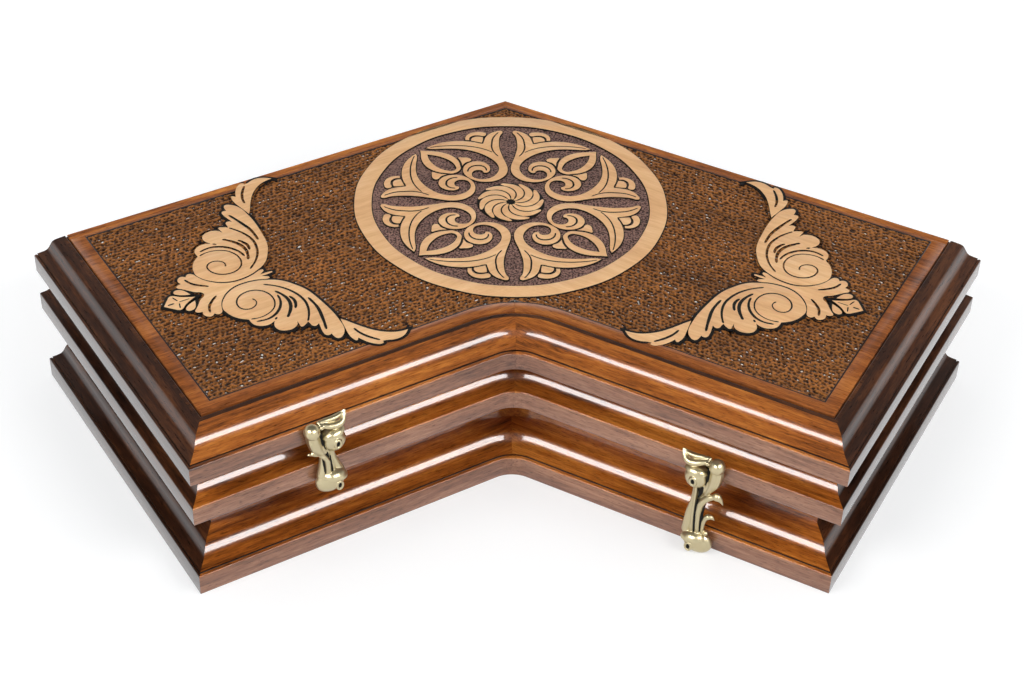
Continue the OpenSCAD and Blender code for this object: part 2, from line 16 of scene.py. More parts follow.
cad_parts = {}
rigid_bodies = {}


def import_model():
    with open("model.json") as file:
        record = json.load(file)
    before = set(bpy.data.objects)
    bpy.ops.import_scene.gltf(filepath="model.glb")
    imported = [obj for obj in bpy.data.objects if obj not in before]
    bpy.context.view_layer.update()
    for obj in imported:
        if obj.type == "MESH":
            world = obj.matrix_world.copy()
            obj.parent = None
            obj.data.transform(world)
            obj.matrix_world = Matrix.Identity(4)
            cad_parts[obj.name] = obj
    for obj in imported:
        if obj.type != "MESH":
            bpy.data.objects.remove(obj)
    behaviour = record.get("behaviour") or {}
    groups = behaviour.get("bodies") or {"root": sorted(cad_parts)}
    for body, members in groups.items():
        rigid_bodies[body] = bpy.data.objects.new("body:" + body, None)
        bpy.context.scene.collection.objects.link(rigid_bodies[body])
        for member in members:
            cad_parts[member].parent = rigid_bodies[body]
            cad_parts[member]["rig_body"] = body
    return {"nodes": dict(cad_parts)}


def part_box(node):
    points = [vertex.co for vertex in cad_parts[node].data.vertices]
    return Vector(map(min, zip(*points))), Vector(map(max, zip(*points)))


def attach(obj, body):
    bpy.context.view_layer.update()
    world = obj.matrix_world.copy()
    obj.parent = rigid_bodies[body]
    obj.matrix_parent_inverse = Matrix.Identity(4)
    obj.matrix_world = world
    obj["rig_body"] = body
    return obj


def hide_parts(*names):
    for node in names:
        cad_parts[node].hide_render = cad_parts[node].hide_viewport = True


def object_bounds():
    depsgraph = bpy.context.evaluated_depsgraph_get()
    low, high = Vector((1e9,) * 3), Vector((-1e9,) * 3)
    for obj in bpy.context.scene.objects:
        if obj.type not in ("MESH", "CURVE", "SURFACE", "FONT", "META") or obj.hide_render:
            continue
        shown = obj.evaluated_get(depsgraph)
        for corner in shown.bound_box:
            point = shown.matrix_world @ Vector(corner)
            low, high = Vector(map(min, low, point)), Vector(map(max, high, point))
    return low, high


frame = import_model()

LOG = logging.getLogger("backgammon_set")
CAD_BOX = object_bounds()
MM = 0.001
ARM_TURN = math.radians(30)
APEX_Y = CAD_BOX[1].y
LID_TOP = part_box("upper_panel_right")[1].z
ARM_LENGTH = 306.0
ARM_WIDTH = 204.0
NOTCH_RADIUS = 16.5
NOTCH_STEPS = 12

Colour = tuple[int, int, int]
Point = tuple[float, ...]
Place = Callable[[float, float], tuple[float, float]]


class Arm(Enum):
    """The two arms of the chevron, with the sign of their side."""

    LEFT = -1
    RIGHT = 1

    @property
    def word(self) -> str:
        """Name used in pieces and nodes."""
        return self.name.lower()

    def plan(self, along: float, inward: float) -> tuple[float, float]:
        """Gives the plan point of a place on the arm.

        Args:
            along: Distance from the apex along the outer side, in mm.
            inward: Distance from the outer side, in mm.

        Returns:
            The point's x and y in metres.
        """
        x = along * math.cos(ARM_TURN) - inward * math.sin(ARM_TURN)
        y = -along * math.sin(ARM_TURN) - inward * math.cos(ARM_TURN)
        return self.value * x * MM, APEX_Y + y * MM


def notch_path(arm: Arm, end: float, inner: float) -> list[tuple[float, float]]:
    """Line inside an arm's outline, from its near corner round the notch to the centre line.

    Args:
        arm: The arm.
        end: Inset from the arm's end, in mm.
        inner: Inset from the inner side, in mm.

    Returns:
        Plan points in metres.
    """
    points = [arm.plan(ARM_LENGTH - end, ARM_WIDTH - inner)]
    radius = (NOTCH_RADIUS + inner) * MM
    centre_y = APEX_Y - (ARM_WIDTH + NOTCH_RADIUS) / math.cos(ARM_TURN) * MM
    for step in range(NOTCH_STEPS + 1):
        turn = ARM_TURN * (1 - step / NOTCH_STEPS)
        points.append((arm.value * radius * math.sin(turn), centre_y + radius * math.cos(turn)))
    return points


class LampUse(Enum):
    """What a lamp is for: light on surfaces, or a bright shape in their lacquer."""

    FILL = "fill"
    MIRROR = "mirror"


class Grain(Enum):
    """Direction of the wood's grain, as the turn that lays it along x."""

    RIGHT_ARM = 30.0
    LEFT_ARM = -30.0
    RIGHT_END = 120.0
    LEFT_END = -120.0
    ACROSS = 0.0

    @staticmethod
    def along(arm: Arm) -> "Grain":
        """Grain that runs along an arm."""
        return Grain.RIGHT_ARM if arm is Arm.RIGHT else Grain.LEFT_ARM

    @staticmethod
    def at_end(arm: Arm) -> "Grain":
        """Grain that runs along an arm's end."""
        return Grain.RIGHT_END if arm is Arm.RIGHT else Grain.LEFT_END


def linear(colour: Colour) -> tuple[float, float, float, float]:
    """Turns a screen colour of 0 to 255 into the renderer's linear colour."""
    parts = []
    for value in colour:
        share = value / 255
        parts.append(share / 12.92 if share <= 0.04045 else ((share + 0.055) / 1.055) ** 2.4)
    return (*parts, 1.0)


class Bench:
    """Adds nodes to one shader tree and joins them."""

    def __init__(self, tree: bpy.types.NodeTree) -> None:
        """Keeps the tree that the nodes go into."""
        self.tree = tree

    def fill(self, socket: bpy.types.NodeSocket, value: object) -> None:
        """Joins a socket to another one, or gives it a value."""
        if isinstance(value, bpy.types.NodeSocket):
            self.tree.links.new(value, socket)
        else:
            socket.default_value = value

    def add(self, kind: str, sockets: dict | None = None, **settings: object) -> bpy.types.Node:
        """Adds a node.

        Args:
            kind: The node's type.
            sockets: Values or sockets for its inputs, by name or number.
            settings: The node's own settings.

        Returns:
            The new node.
        """
        node = self.tree.nodes.new(kind)
        for name, value in settings.items():
            setattr(node, name, value)
        for name, value in (sockets or {}).items():
            self.fill(node.inputs[name], value)
        return node

    def maths(self, operation: str, first: object, second: object = 0.0) -> bpy.types.NodeSocket:
        """Adds a Math node and gives its output."""
        return self.add("ShaderNodeMath", {0: first, 1: second}, operation=operation).outputs[0]

    def span(self, value: object, low: float, high: float, first: float = 0.0,
             last: float = 1.0) -> bpy.types.NodeSocket:
        """Maps a value from low..high to first..last."""
        node = self.add("ShaderNodeMapRange", {"Value": value, "From Min": low, "From Max": high,
                                               "To Min": first, "To Max": last})
        return node.outputs[0]

    def noise(self, vector: object, scale: float, detail: float = 3.0, rough: float = 0.5,
              distortion: float = 0.0) -> bpy.types.NodeSocket:
        """Adds a noise texture and gives its value."""
        node = self.add("ShaderNodeTexNoise", {"Vector": vector, "Scale": scale, "Detail": detail,
                                               "Roughness": rough, "Distortion": distortion})
        return node.outputs[0]

    def stretched(self, vector: object, scale: Point) -> bpy.types.NodeSocket:
        """Scales a vector by different amounts along its axes."""
        node = self.add("ShaderNodeVectorMath", {0: vector, 1: scale}, operation="MULTIPLY")
        return node.outputs[0]

    def ramp(self, factor: object, stops: Iterable[tuple[float, Colour]]) -> bpy.types.NodeSocket:
        """Adds a colour ramp and gives its colour."""
        node = self.add("ShaderNodeValToRGB", {0: factor})
        marks = list(stops)
        elements = node.color_ramp.elements
        while len(elements) < len(marks):
            elements.new(0.5)
        for element, (place, colour) in zip(elements, marks):
            element.position = place
            element.color = linear(colour)
        return node.outputs[0]

    def mix(self, factor: object, first: object, second: object,
            blend: str = "MIX") -> bpy.types.NodeSocket:
        """Mixes two colours and gives the result."""
        node = self.add("ShaderNodeMix", data_type="RGBA", blend_type=blend)
        for number, value in ((0, factor), (6, first), (7, second)):
            self.fill(node.inputs[number], value)
        return node.outputs[2]

    def bump(self, height: object, distance: float, strength: float = 1.0) -> bpy.types.NodeSocket:
        """Adds a bump node and gives its normal."""
        node = self.add("ShaderNodeBump", {"Height": height, "Distance": distance, "Strength": strength})
        return node.outputs[0]


def node_group(name: str, inputs: dict[str, str], outputs: dict[str, str],
               fill: Callable[[Bench, bpy.types.Node, bpy.types.Node], None]) -> bpy.types.NodeTree:
    """Builds a shared shader node group once.

    Args:
        name: The group's name.
        inputs: Socket types of its inputs, by name.
        outputs: Socket types of its outputs, by name.
        fill: Adds the group's nodes between its input and output nodes.

    Returns:
        The group.
    """
    found = bpy.data.node_groups.get(name)
    if found:
        return found
    group = bpy.data.node_groups.new(name, "ShaderNodeTree")
    for label, kind in inputs.items():
        group.interface.new_socket(name=label, in_out="INPUT", socket_type=kind)
    for label, kind in outputs.items():
        group.interface.new_socket(name=label, in_out="OUTPUT", socket_type=kind)
    bench = Bench(group)
    fill(bench, bench.add("NodeGroupInput"), bench.add("NodeGroupOutput"))
    return group


def fill_grain(bench: Bench, source: bpy.types.Node, result: bpy.types.Node) -> None:
    """Grain along x: broad bands, streaks, blotches, fibres and short dark pores."""
    vector = source.outputs["Vector"]
    bands = bench.noise(bench.stretched(vector, (5.0, 60.0, 60.0)), 1.0, 4.0, 0.55, 0.6)
    streaks = bench.noise(bench.stretched(vector, (26.0, 330.0, 330.0)), 1.0, 3.0, 0.6, 0.4)
    blotch = bench.noise(bench.stretched(vector, (14.0, 34.0, 34.0)), 1.0, 3.0, 0.5)
    fibres = bench.noise(bench.stretched(vector, (120.0, 1100.0, 1100.0)), 1.0, 3.0, 0.6)
    dashes = bench.noise(bench.stretched(vector, (240.0, 1700.0, 1700.0)), 1.0, 2.0, 0.5)
    tone = bench.maths("MULTIPLY", bands, 0.3)
    for layer, share in ((streaks, 0.28), (blotch, 0.18), (fibres, 0.24)):
        tone = bench.maths("ADD", tone, bench.maths("MULTIPLY", layer, share))
    bench.fill(result.inputs["Tone"], bench.span(tone, 0.38, 0.62))
    bench.fill(result.inputs["Fibre"], fibres)
    bench.fill(result.inputs["Pore"], bench.span(dashes, 0.58, 0.7))


def fill_patina(bench: Bench, source: bpy.types.Node, result: bpy.types.Node) -> None:
    """Tarnish of cast metal: clouds, fine specks and a smear for the roughness."""
    vector = source.outputs["Vector"]
    bench.fill(result.inputs["Cloud"], bench.noise(vector, 160.0, 4.0, 0.6))
    bench.fill(result.inputs["Speck"], bench.span(bench.noise(vector, 1600.0, 2.0, 0.5), 0.55, 0.75))
    bench.fill(result.inputs["Smear"], bench.noise(vector, 500.0, 3.0, 0.6))


def grain_group() -> bpy.types.NodeTree:
    """The wood grain that all woods share."""
    value = "NodeSocketFloat"
    return node_group("wood_grain", {"Vector": "NodeSocketVector"},
                      {"Tone": value, "Fibre": value, "Pore": value}, fill_grain)


def patina_group() -> bpy.types.NodeTree:
    """The tarnish that all metals share."""
    value = "NodeSocketFloat"
    return node_group("metal_patina", {"Vector": "NodeSocketVector"},
                      {"Cloud": value, "Speck": value, "Smear": value}, fill_patina)


def seen_rays(bench: Bench) -> bpy.types.NodeSocket:
    """Gives 1 for rays of the camera, of reflections and of clear things, and 0 for other light."""
    ray = bench.add("ShaderNodeLightPath")
    seen = bench.maths("MAXIMUM", ray.outputs["Is Camera Ray"], ray.outputs["Is Glossy Ray"])
    return bench.maths("MAXIMUM", seen, ray.outputs["Is Transmission Ray"])


def new_material(name: str) -> tuple[bpy.types.Material, Bench, bpy.types.Node]:
    """Starts a material.

    Args:
        name: Its name.

    Returns:
        The material, the bench of its tree and its Principled node.
    """
    material = bpy.data.materials.new(name)
    material.use_nodes = True
    bench = Bench(material.node_tree)
    return material, bench, material.node_tree.nodes["Principled BSDF"]


def part_place(bench: Bench, turn: float = 0.0) -> bpy.types.NodeSocket:
    """Object coordinates, turned about the vertical.

    Args:
        bench: The tree's bench.
        turn: Turn in degrees.

    Returns:
        The turned coordinates.
    """
    place = bench.add("ShaderNodeTexCoord").outputs["Object"]
    turned = bench.add("ShaderNodeMapping", {"Vector": place, "Rotation": (0, 0, math.radians(turn))})
    return turned.outputs[0]


@dataclass(frozen=True)
class WoodFinish:
    """Stained and lacquered wood with its grain in one direction."""

    name: str
    dark: Colour
    mid: Colour
    light: Colour
    gloss: float = 0.3
    coat: float = 0.9
    pore_depth: float = 0.6

    def material(self, grain: Grain) -> bpy.types.Material:
        """Builds the wood for one direction of the grain, once.

        Args:
            grain: Direction of the grain.

        Returns:
            The material.
        """
        label = f"{self.name}_{grain.name.lower()}"
        found = bpy.data.materials.get(label)
        if found:
            return found
        material, bench, shader = new_material(label)
        pattern = bench.add("ShaderNodeGroup", node_tree=grain_group())
        bench.fill(pattern.inputs["Vector"], part_place(bench, grain.value))
        tone, fibre, pore = pattern.outputs
        colour = bench.ramp(tone, ((0.0, self.dark), (0.5, self.mid), (1.0, self.light)))
        pores = bench.maths("MULTIPLY", pore, self.pore_depth)
        colour = bench.mix(pores, colour, linear(self.dark), "MULTIPLY")
        bench.fill(shader.inputs["Base Color"], colour)
        rough = bench.span(fibre, 0.2, 0.8, self.gloss - 0.06, self.gloss + 0.1)
        bench.fill(shader.inputs["Roughness"], rough)
        relief = bench.maths("SUBTRACT", fibre, pores)
        bench.fill(shader.inputs["Normal"], bench.bump(relief, 0.12 * MM, 0.35))
        shader.inputs["Specular IOR Level"].default_value = 0.25
        shader.inputs["Coat Weight"].default_value = self.coat
        shader.inputs["Coat Roughness"].default_value = 0.07
        return material


@dataclass(frozen=True)
class GroundFinish:
    """Punched ground: light ridges over dark pits, told apart by height, and painted highlight glints."""

    name: str
    pit: Colour
    slope: Colour
    ridge: Colour
    low: float
    high: float
    grain: Grain
    speckle: float = 0.25
    # Strength, colour and depth of the painted highlight glints in the deepest pits.
    glint: float = 0.0
    glint_colour: Colour = (236, 234, 230)
    glint_depth: float = 0.1 * MM
    blur: float = 0.35 * MM

    def material(self) -> bpy.types.Material:
        """Builds the material once."""
        found = bpy.data.materials.get(self.name)
        if found:
            return found
        material, bench, shader = new_material(self.name)
        place = part_place(bench, self.grain.value)
        pattern = bench.add("ShaderNodeGroup", {"Vector": place}, node_tree=grain_group())
        height = bench.add("ShaderNodeSeparateXYZ", {0: place}).outputs[2]
        stray = bench.maths("MULTIPLY", bench.noise(place, 700.0, 3.0), self.blur)
        blurred = bench.maths("ADD", stray, height)
        specks = bench.span(bench.noise(place, 900.0, 2.0), 0.38, 0.62, -self.speckle, self.speckle)
        level = bench.maths("ADD", bench.span(blurred, self.low, self.high), specks)
        colour = bench.ramp(level, ((0.0, self.pit), (0.5, self.slope), (1.0, self.ridge)))
        shade = bench.span(pattern.outputs["Tone"], 0.0, 1.0, 0.55, 1.25)
        colour = bench.mix(1.0, colour, shade, "MULTIPLY")
        # Painted highlight: a pale glint colour in the deepest pits, where a noise lets it, stands in for
        # lamp glints.
        shallow = self.low - self.glint_depth
        deep = bench.span(height, shallow, shallow - self.glint_depth, 0.0, self.glint)
        some = bench.span(bench.noise(place, 260.0, 1.0), 0.5, 0.56)
        colour = bench.mix(bench.maths("MULTIPLY", deep, some), colour, linear(self.glint_colour))
        bench.fill(shader.inputs["Base Color"], colour)
        bench.fill(shader.inputs["Roughness"], bench.span(pattern.outputs["Fibre"], 0.2, 0.8, 0.28, 0.5))
        bench.fill(shader.inputs["Normal"], bench.bump(bench.noise(place, 1800.0, 2.0), 0.15 * MM, 0.4))
        shader.inputs["Specular IOR Level"].default_value = 0.2
        shader.inputs["Coat Weight"].default_value = 0.3
        shader.inputs["Coat Roughness"].default_value = 0.25
        return material


@dataclass(frozen=True)
class BrassFinish:
    """Antiqued cast brass: pale crowns of wear and painted highlight, near-black hollows of patina and
    painted shade.
    """

    name: str
    hollow: Colour
    body: Colour
    crown: Colour
    gloss: float = 0.24
    hollows: bool = True
    # Reach of the ambient occlusion that paints shade into sheltered places.
    shelter: float = 5.0 * MM

    def material(self) -> bpy.types.Material:
        """Builds the material once."""
        found = bpy.data.materials.get(self.name)
        if found:
            return found
        material, bench, shader = new_material(self.name)
        place = part_place(bench)
        pattern = bench.add("ShaderNodeGroup", {"Vector": place}, node_tree=patina_group())
        cloud, speck, smear = pattern.outputs
        wear_and_highlight = bench.span(cloud, 0.3, 0.7)
        # Pointiness gives convex places the pale crown colour and concave ones the hollow colour: wear and
        # patina, and also painted highlight and painted shade.
        if self.hollows:
            curve = bench.add("ShaderNodeNewGeometry").outputs["Pointiness"]
            stain = bench.span(cloud, 0.2, 0.8, -0.15, 0.15)
            wear_and_highlight = bench.maths("ADD", bench.span(curve, 0.45, 0.55), stain)
        colour = bench.ramp(wear_and_highlight, ((0.05, self.hollow), (0.45, self.body), (0.9, self.crown)))
        if self.hollows:
            # Painted shade: ambient occlusion darkens sheltered places towards the hollow colour.
            shelter = bench.add("ShaderNodeAmbientOcclusion", {"Distance": self.shelter}, samples=8,
                                only_local=True)
            lit = bench.span(shelter.outputs["AO"], 0.35, 0.95)
            colour = bench.mix(lit, linear(self.hollow), colour)
        colour = bench.mix(bench.maths("MULTIPLY", speck, 0.4), colour, linear(self.hollow))
        bench.fill(shader.inputs["Base Color"], colour)
        rough = bench.span(smear, 0.2, 0.8, self.gloss - 0.08, self.gloss + 0.14)
        bench.fill(shader.inputs["Roughness"], rough)
        bench.fill(shader.inputs["Normal"], bench.bump(smear, 0.1 * MM, 0.25))
        shader.inputs["Metallic"].default_value = 1.0
        return material


@dataclass(frozen=True)
class PolishFinish:
    """Turned and polished game piece with a faint figure."""

    name: str
    dark: Colour
    light: Colour
    gloss: float = 0.25
    coat: float = 0.3
    shine: float = 0.5

    def material(self) -> bpy.types.Material:
        """Builds the material once."""
        found = bpy.data.materials.get(self.name)
        if found:
            return found
        material, bench, shader = new_material(self.name)
        pattern = bench.add("ShaderNodeGroup", {"Vector": part_place(bench)}, node_tree=grain_group())
        tone, fibre, _ = pattern.outputs
        bench.fill(shader.inputs["Base Color"], bench.ramp(tone, ((0.0, self.dark), (1.0, self.light))))
        rough = bench.span(fibre, 0.2, 0.8, self.gloss - 0.05, self.gloss + 0.1)
        bench.fill(shader.inputs["Roughness"], rough)
        bench.fill(shader.inputs["Normal"], bench.bump(fibre, 0.1 * MM, 0.2))
        shader.inputs["Coat Weight"].default_value = self.coat
        shader.inputs["Specular IOR Level"].default_value = self.shine
        return material


FRAME_WOOD = WoodFinish("frame_wood", (70, 32, 9), (162, 89, 30), (212, 134, 55))
# Fillet wood with a painted reflection of the pale floor mixed into its colour.
FILLET_WOOD_AND_REFLECTION = WoodFinish("fillet_wood", (92, 54, 36), (146, 97, 70), (182, 130, 98))
# Dark wood for quirks and grooves: stain and painted shade in the creases.
EDGE_STAIN_AND_SHADE = WoodFinish("edge_stain", (28, 14, 7), (58, 31, 15), (104, 60, 28))
END_WOOD = WoodFinish("end_wood", (30, 16, 10), (60, 33, 19), (98, 57, 31))
PANEL_WOOD = WoodFinish("panel_wood", (84, 42, 15), (148, 82, 34), (190, 118, 56))
TAN_WOOD = WoodFinish("tan_wood", (212, 160, 112), (228, 180, 130), (240, 198, 150), 0.42, 0.15, 0.12)
BURNT_LINE = WoodFinish("burnt_line", (7, 5, 4), (12, 8, 6), (20, 13, 10), 0.6, 0.0)
BORDER_LINE = WoodFinish("border_line", (24, 15, 12), (38, 25, 20), (54, 38, 32), 0.3, 0.9)
FIELD_WOOD = WoodFinish("field_wood", (168, 112, 62), (196, 140, 86), (214, 164, 110))
POINT_DARK = WoodFinish("point_dark", (52, 26, 14), (78, 42, 24), (104, 60, 34))
POINT_LIGHT = WoodFinish("point_light", (206, 164, 108), (224, 186, 134), (236, 204, 156))
# Its pale crown colour is partly a painted highlight, and its hollow colour partly painted shade.
CAST_BRASS = BrassFinish("antique_brass", (15, 13, 11), (146, 129, 86), (240, 228, 188))
SHEET_BRASS = BrassFinish("sheet_brass", (74, 60, 30), (150, 128, 72), (190, 168, 104), 0.3, False)
CHECKER_LIGHT = PolishFinish("checker_light", (206, 170, 118), (236, 210, 164))
CHECKER_DARK = PolishFinish("checker_dark", (36, 20, 13), (66, 38, 24))
CHECKER_RED = PolishFinish("checker_red", (104, 26, 18), (150, 46, 30))
DICE_BONE = PolishFinish("dice_bone", (224, 214, 192), (240, 233, 216))
# Black that fills the latch's eye holes and channels as painted shade.
PAINTED_SHADE_BLACK = PolishFinish("eye_black", (10, 9, 8), (24, 21, 18), 0.5, 0.0, 0.15)
PIP_BLACK = PolishFinish("pip_black", (16, 14, 13), (30, 27, 25))


def add_piece(bm: bmesh.types.BMesh, name: str, materials: Iterable[bpy.types.Material], body: str,
              stands_for: Iterable[str] = (), sharp: float = 35.0) -> None:
    """Makes an object of a finished bmesh and ties it to the frame.

    Args:
        bm: The mesh, in the part's own frame and in metres. It is freed.
        name: The piece's name.
        materials: Its materials, in the order of the faces' numbers.
        body: The body that it moves with.
        stands_for: CAD nodes that it replaces.
        sharp: Edges steeper than this many degrees stay sharp.
    """
    mesh = bpy.data.meshes.new(name)
    bm.to_mesh(mesh)
    bm.free()
    for material in materials:
        mesh.materials.append(material)
    mesh.shade_smooth()
    mesh.set_sharp_from_angle(angle=math.radians(sharp))
    piece = bpy.data.objects.new(name, mesh)
    bpy.context.scene.collection.objects.link(piece)
    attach(piece, body)
    nodes = list(stands_for)
    if nodes:
        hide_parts(*nodes)
    LOG.info("piece %s on %s", name, body)


SOFT_SEGMENTS = 2
SOFT_ANGLE = math.radians(28)
MERGE = 0.01 * MM


def dress(node: str, material: bpy.types.Material, soften: float = 0.0) -> None:
    """Gives a CAD node its finish, with softened edges where asked.

    Args:
        node: The node's name.
        material: Its finish.
        soften: Width of the rounding along its edges, in mm.
    """
    shown = frame["nodes"][node]
    shown.data.materials.clear()
    shown.data.materials.append(material)
    if soften:
        shown.data.shade_smooth()
        weld = shown.modifiers.new("merge", "WELD")
        weld.merge_threshold = MERGE
        edge = shown.modifiers.new("edges", "BEVEL")
        edge.width = soften * MM
        edge.segments = SOFT_SEGMENTS
        edge.limit_method = "ANGLE"
        edge.angle_limit = SOFT_ANGLE
        edge.use_clamp_overlap = True
        even = shown.modifiers.new("shading", "WEIGHTED_NORMAL")
        even.keep_sharp = True
    LOG.info("node %s dressed", node)


@dataclass
class Studio:
    """Camera, lamps, floor and background."""

    camera_place: Point = (-0.0434, -0.913, 0.7692)
    camera_turn: Point = (51.1972, -1.5342, -1.5635)
    lens: float = 72.23
    middle: Point = (0.0, -0.1, 0.06)
    strip_place: Point = (1.0, -0.68, 1.08)
    strip_size: Point = (1.1, 0.4)
    strip_watts: float = 12.0
    mirror_place: Point = (0.84, -0.96, 1.06)
    mirror_size: Point = (0.95, 0.4)
    mirror_watts: float = 20.0
    sky_place: Point = (0.0, 0.5, 1.9)
    sky_size: Point = (1.8, 1.4)
    sky_watts: float = 5.0
    white: Point = (0.98, 0.99, 1.0, 1.0)
    bounce: Point = (0.86, 0.87, 0.9, 1.0)
    world_level: float = 0.28
    ceiling: float = 0.1
    backdrop_top: float = 0.3
    ceiling_edge: float = 0.55
    floor_share: float = 0.5
    floor_sum: float = 1.04
    shadow_near: float = 0.2
    shadow_far: float = 0.8
    floor_size: float = 8.0

    def build(self) -> None:
        """Builds the whole studio."""
        self.camera()
        self.lamps()
        self.floor()
        self.world()
        bpy.context.scene.view_settings.view_transform = "Standard"

    def camera(self) -> None:
        """Places the camera at the photograph's angle."""
        data = bpy.data.cameras.new("camera")
        data.lens = self.lens
        data.sensor_width = 36.0
        shot = bpy.data.objects.new("camera", data)
        shot.location = self.camera_place
        shot.rotation_euler = [math.radians(turn) for turn in self.camera_turn]
        bpy.context.scene.collection.objects.link(shot)
        bpy.context.scene.camera = shot

    def lamp(self, name: str, place: Point, target: Point, watts: float, size: Point, along: Point,
             use: LampUse) -> None:
        """Adds one rectangular lamp.

        Args:
            name: The lamp's name.
            place: Its place.
            target: The point that it looks at, as nearly as its long side allows.
            watts: Its power.
            size: Its length and width.
            along: Direction of its long side.
            use: What it is for.
        """
        data = bpy.data.lights.new(name, "AREA")
        data.shape = "RECTANGLE"
        data.size, data.size_y = size
        data.energy = watts
        shine = bpy.data.objects.new(name, data)
        side = Vector(along).normalized()
        back = Vector(place) - Vector(target)
        back = (back - side * back.dot(side)).normalized()
        turn = Matrix((side, back.cross(side), back)).transposed().to_4x4()
        shine.matrix_world = Matrix.Translation(place) @ turn
        shine.visible_diffuse = use is LampUse.FILL
        shine.visible_glossy = use is LampUse.MIRROR
        bpy.context.scene.collection.objects.link(shine)

    def lamps(self) -> None:
        """Soft light from both sides and above, and the lamps that the lacquer mirrors."""
        pairs = (("strip", self.strip_place, self.strip_watts, self.strip_size, LampUse.FILL),
                 ("mirror", self.mirror_place, self.mirror_watts, self.mirror_size, LampUse.MIRROR))
        for arm in Arm:
            side = -arm.value
            along = (math.cos(ARM_TURN), side * math.sin(ARM_TURN), 0.0)
            for name, spot, watts, size, use in pairs:
                place = (side * spot[0], *spot[1:])
                self.lamp(f"{name}_for_{arm.word}", place, self.middle, watts, size, along, use)
        across = (1.0, 0.0, 0.0)
        self.lamp("sky", self.sky_place, (0, 0, 0), self.sky_watts, self.sky_size, across, LampUse.FILL)

    def floor(self) -> None:
        """Pale floor that keeps the shadow and is white to the camera and to reflections."""
        bm = bmesh.new()
        bmesh.ops.create_grid(bm, x_segments=1, y_segments=1, size=self.floor_size / 2)
        mesh = bpy.data.meshes.new("floor")
        bm.to_mesh(mesh)
        bm.free()
        material = bpy.data.materials.new("floor_white")
        material.use_nodes = True
        bench = Bench(material.node_tree)
        material.node_tree.nodes.clear()
        seen = seen_rays(bench)
        pale = bench.mix(seen, self.bounce, (self.floor_share, self.floor_share, self.floor_share, 1.0))
        matt = bench.add("ShaderNodeBsdfDiffuse", {"Color": pale})
        place = bench.add("ShaderNodeTexCoord").outputs["Object"]
        away = bench.add("ShaderNodeVectorMath", {0: place}, operation="LENGTH").outputs["Value"]
        level = bench.span(away, self.shadow_near, self.shadow_far, self.floor_sum - self.floor_share, 1.0)
        glow = bench.add("ShaderNodeEmission", {"Color": self.white,
                                                "Strength": bench.maths("MULTIPLY", seen, level)})
        both = bench.add("ShaderNodeAddShader", {0: matt.outputs[0], 1: glow.outputs[0]})
        bench.add("ShaderNodeOutputMaterial", {"Surface": both.outputs[0]})
        mesh.materials.append(material)
        ground = bpy.data.objects.new("floor", mesh)
        bpy.context.scene.collection.objects.link(ground)

    def world(self) -> None:
        """Soft even light; to the camera and in reflections a white backdrop under a dim ceiling."""
        world = bpy.data.worlds.new("studio")
        world.use_nodes = True
        bench = Bench(world.node_tree)
        seen = seen_rays(bench)
        rise = bench.add("ShaderNodeSeparateXYZ", {0: bench.add("ShaderNodeTexCoord").outputs["Generated"]})
        backdrop = bench.span(rise.outputs[2], self.backdrop_top, self.ceiling_edge, 1.0, self.ceiling)
        shown = bench.maths("MULTIPLY", seen, bench.maths("SUBTRACT", backdrop, self.world_level))
        back = world.node_tree.nodes["Background"]
        back.inputs["Color"].default_value = self.white
        bench.fill(back.inputs["Strength"], bench.maths("ADD", shown, self.world_level))
        bpy.context.scene.world = world


def rounded(corners: Iterable[Point], steps: int = 4) -> list[Point]:
    """Rounds the corners of a section.

    Args:
        corners: Inset, height, rounding and material number of each corner, in mm.
        steps: Pieces of each rounding.

    Returns:
        Inset, height and material number of each point.
    """
    marks = list(corners)
    points = []
    for number, (inset, height, radius, tone) in enumerate(marks):
        if not radius:
            points.append((inset, height, tone))
            continue
        corner = Vector((inset, height))
        before = Vector(marks[number - 1][:2]) - corner
        after = Vector(marks[(number + 1) % len(marks)][:2]) - corner
        start = corner + before.normalized() * radius
        stop = corner + after.normalized() * radius
        for step in range(steps + 1):
            share = step / steps
            spot = start * (1 - share) ** 2 + corner * (2 * share * (1 - share)) + stop * share ** 2
            points.append((spot.x, spot.y, tone))
    return points


class Tone(IntEnum):
    """Number of the wood on a face of a moulding."""

    FRAME = 0
    END = 1
    # Dark stain and painted shade in the quirk, the groove and the band beside it.
    STAIN = 2
    # Fillet wood, whose colour holds a painted reflection of the pale floor.
    FILLET = 3


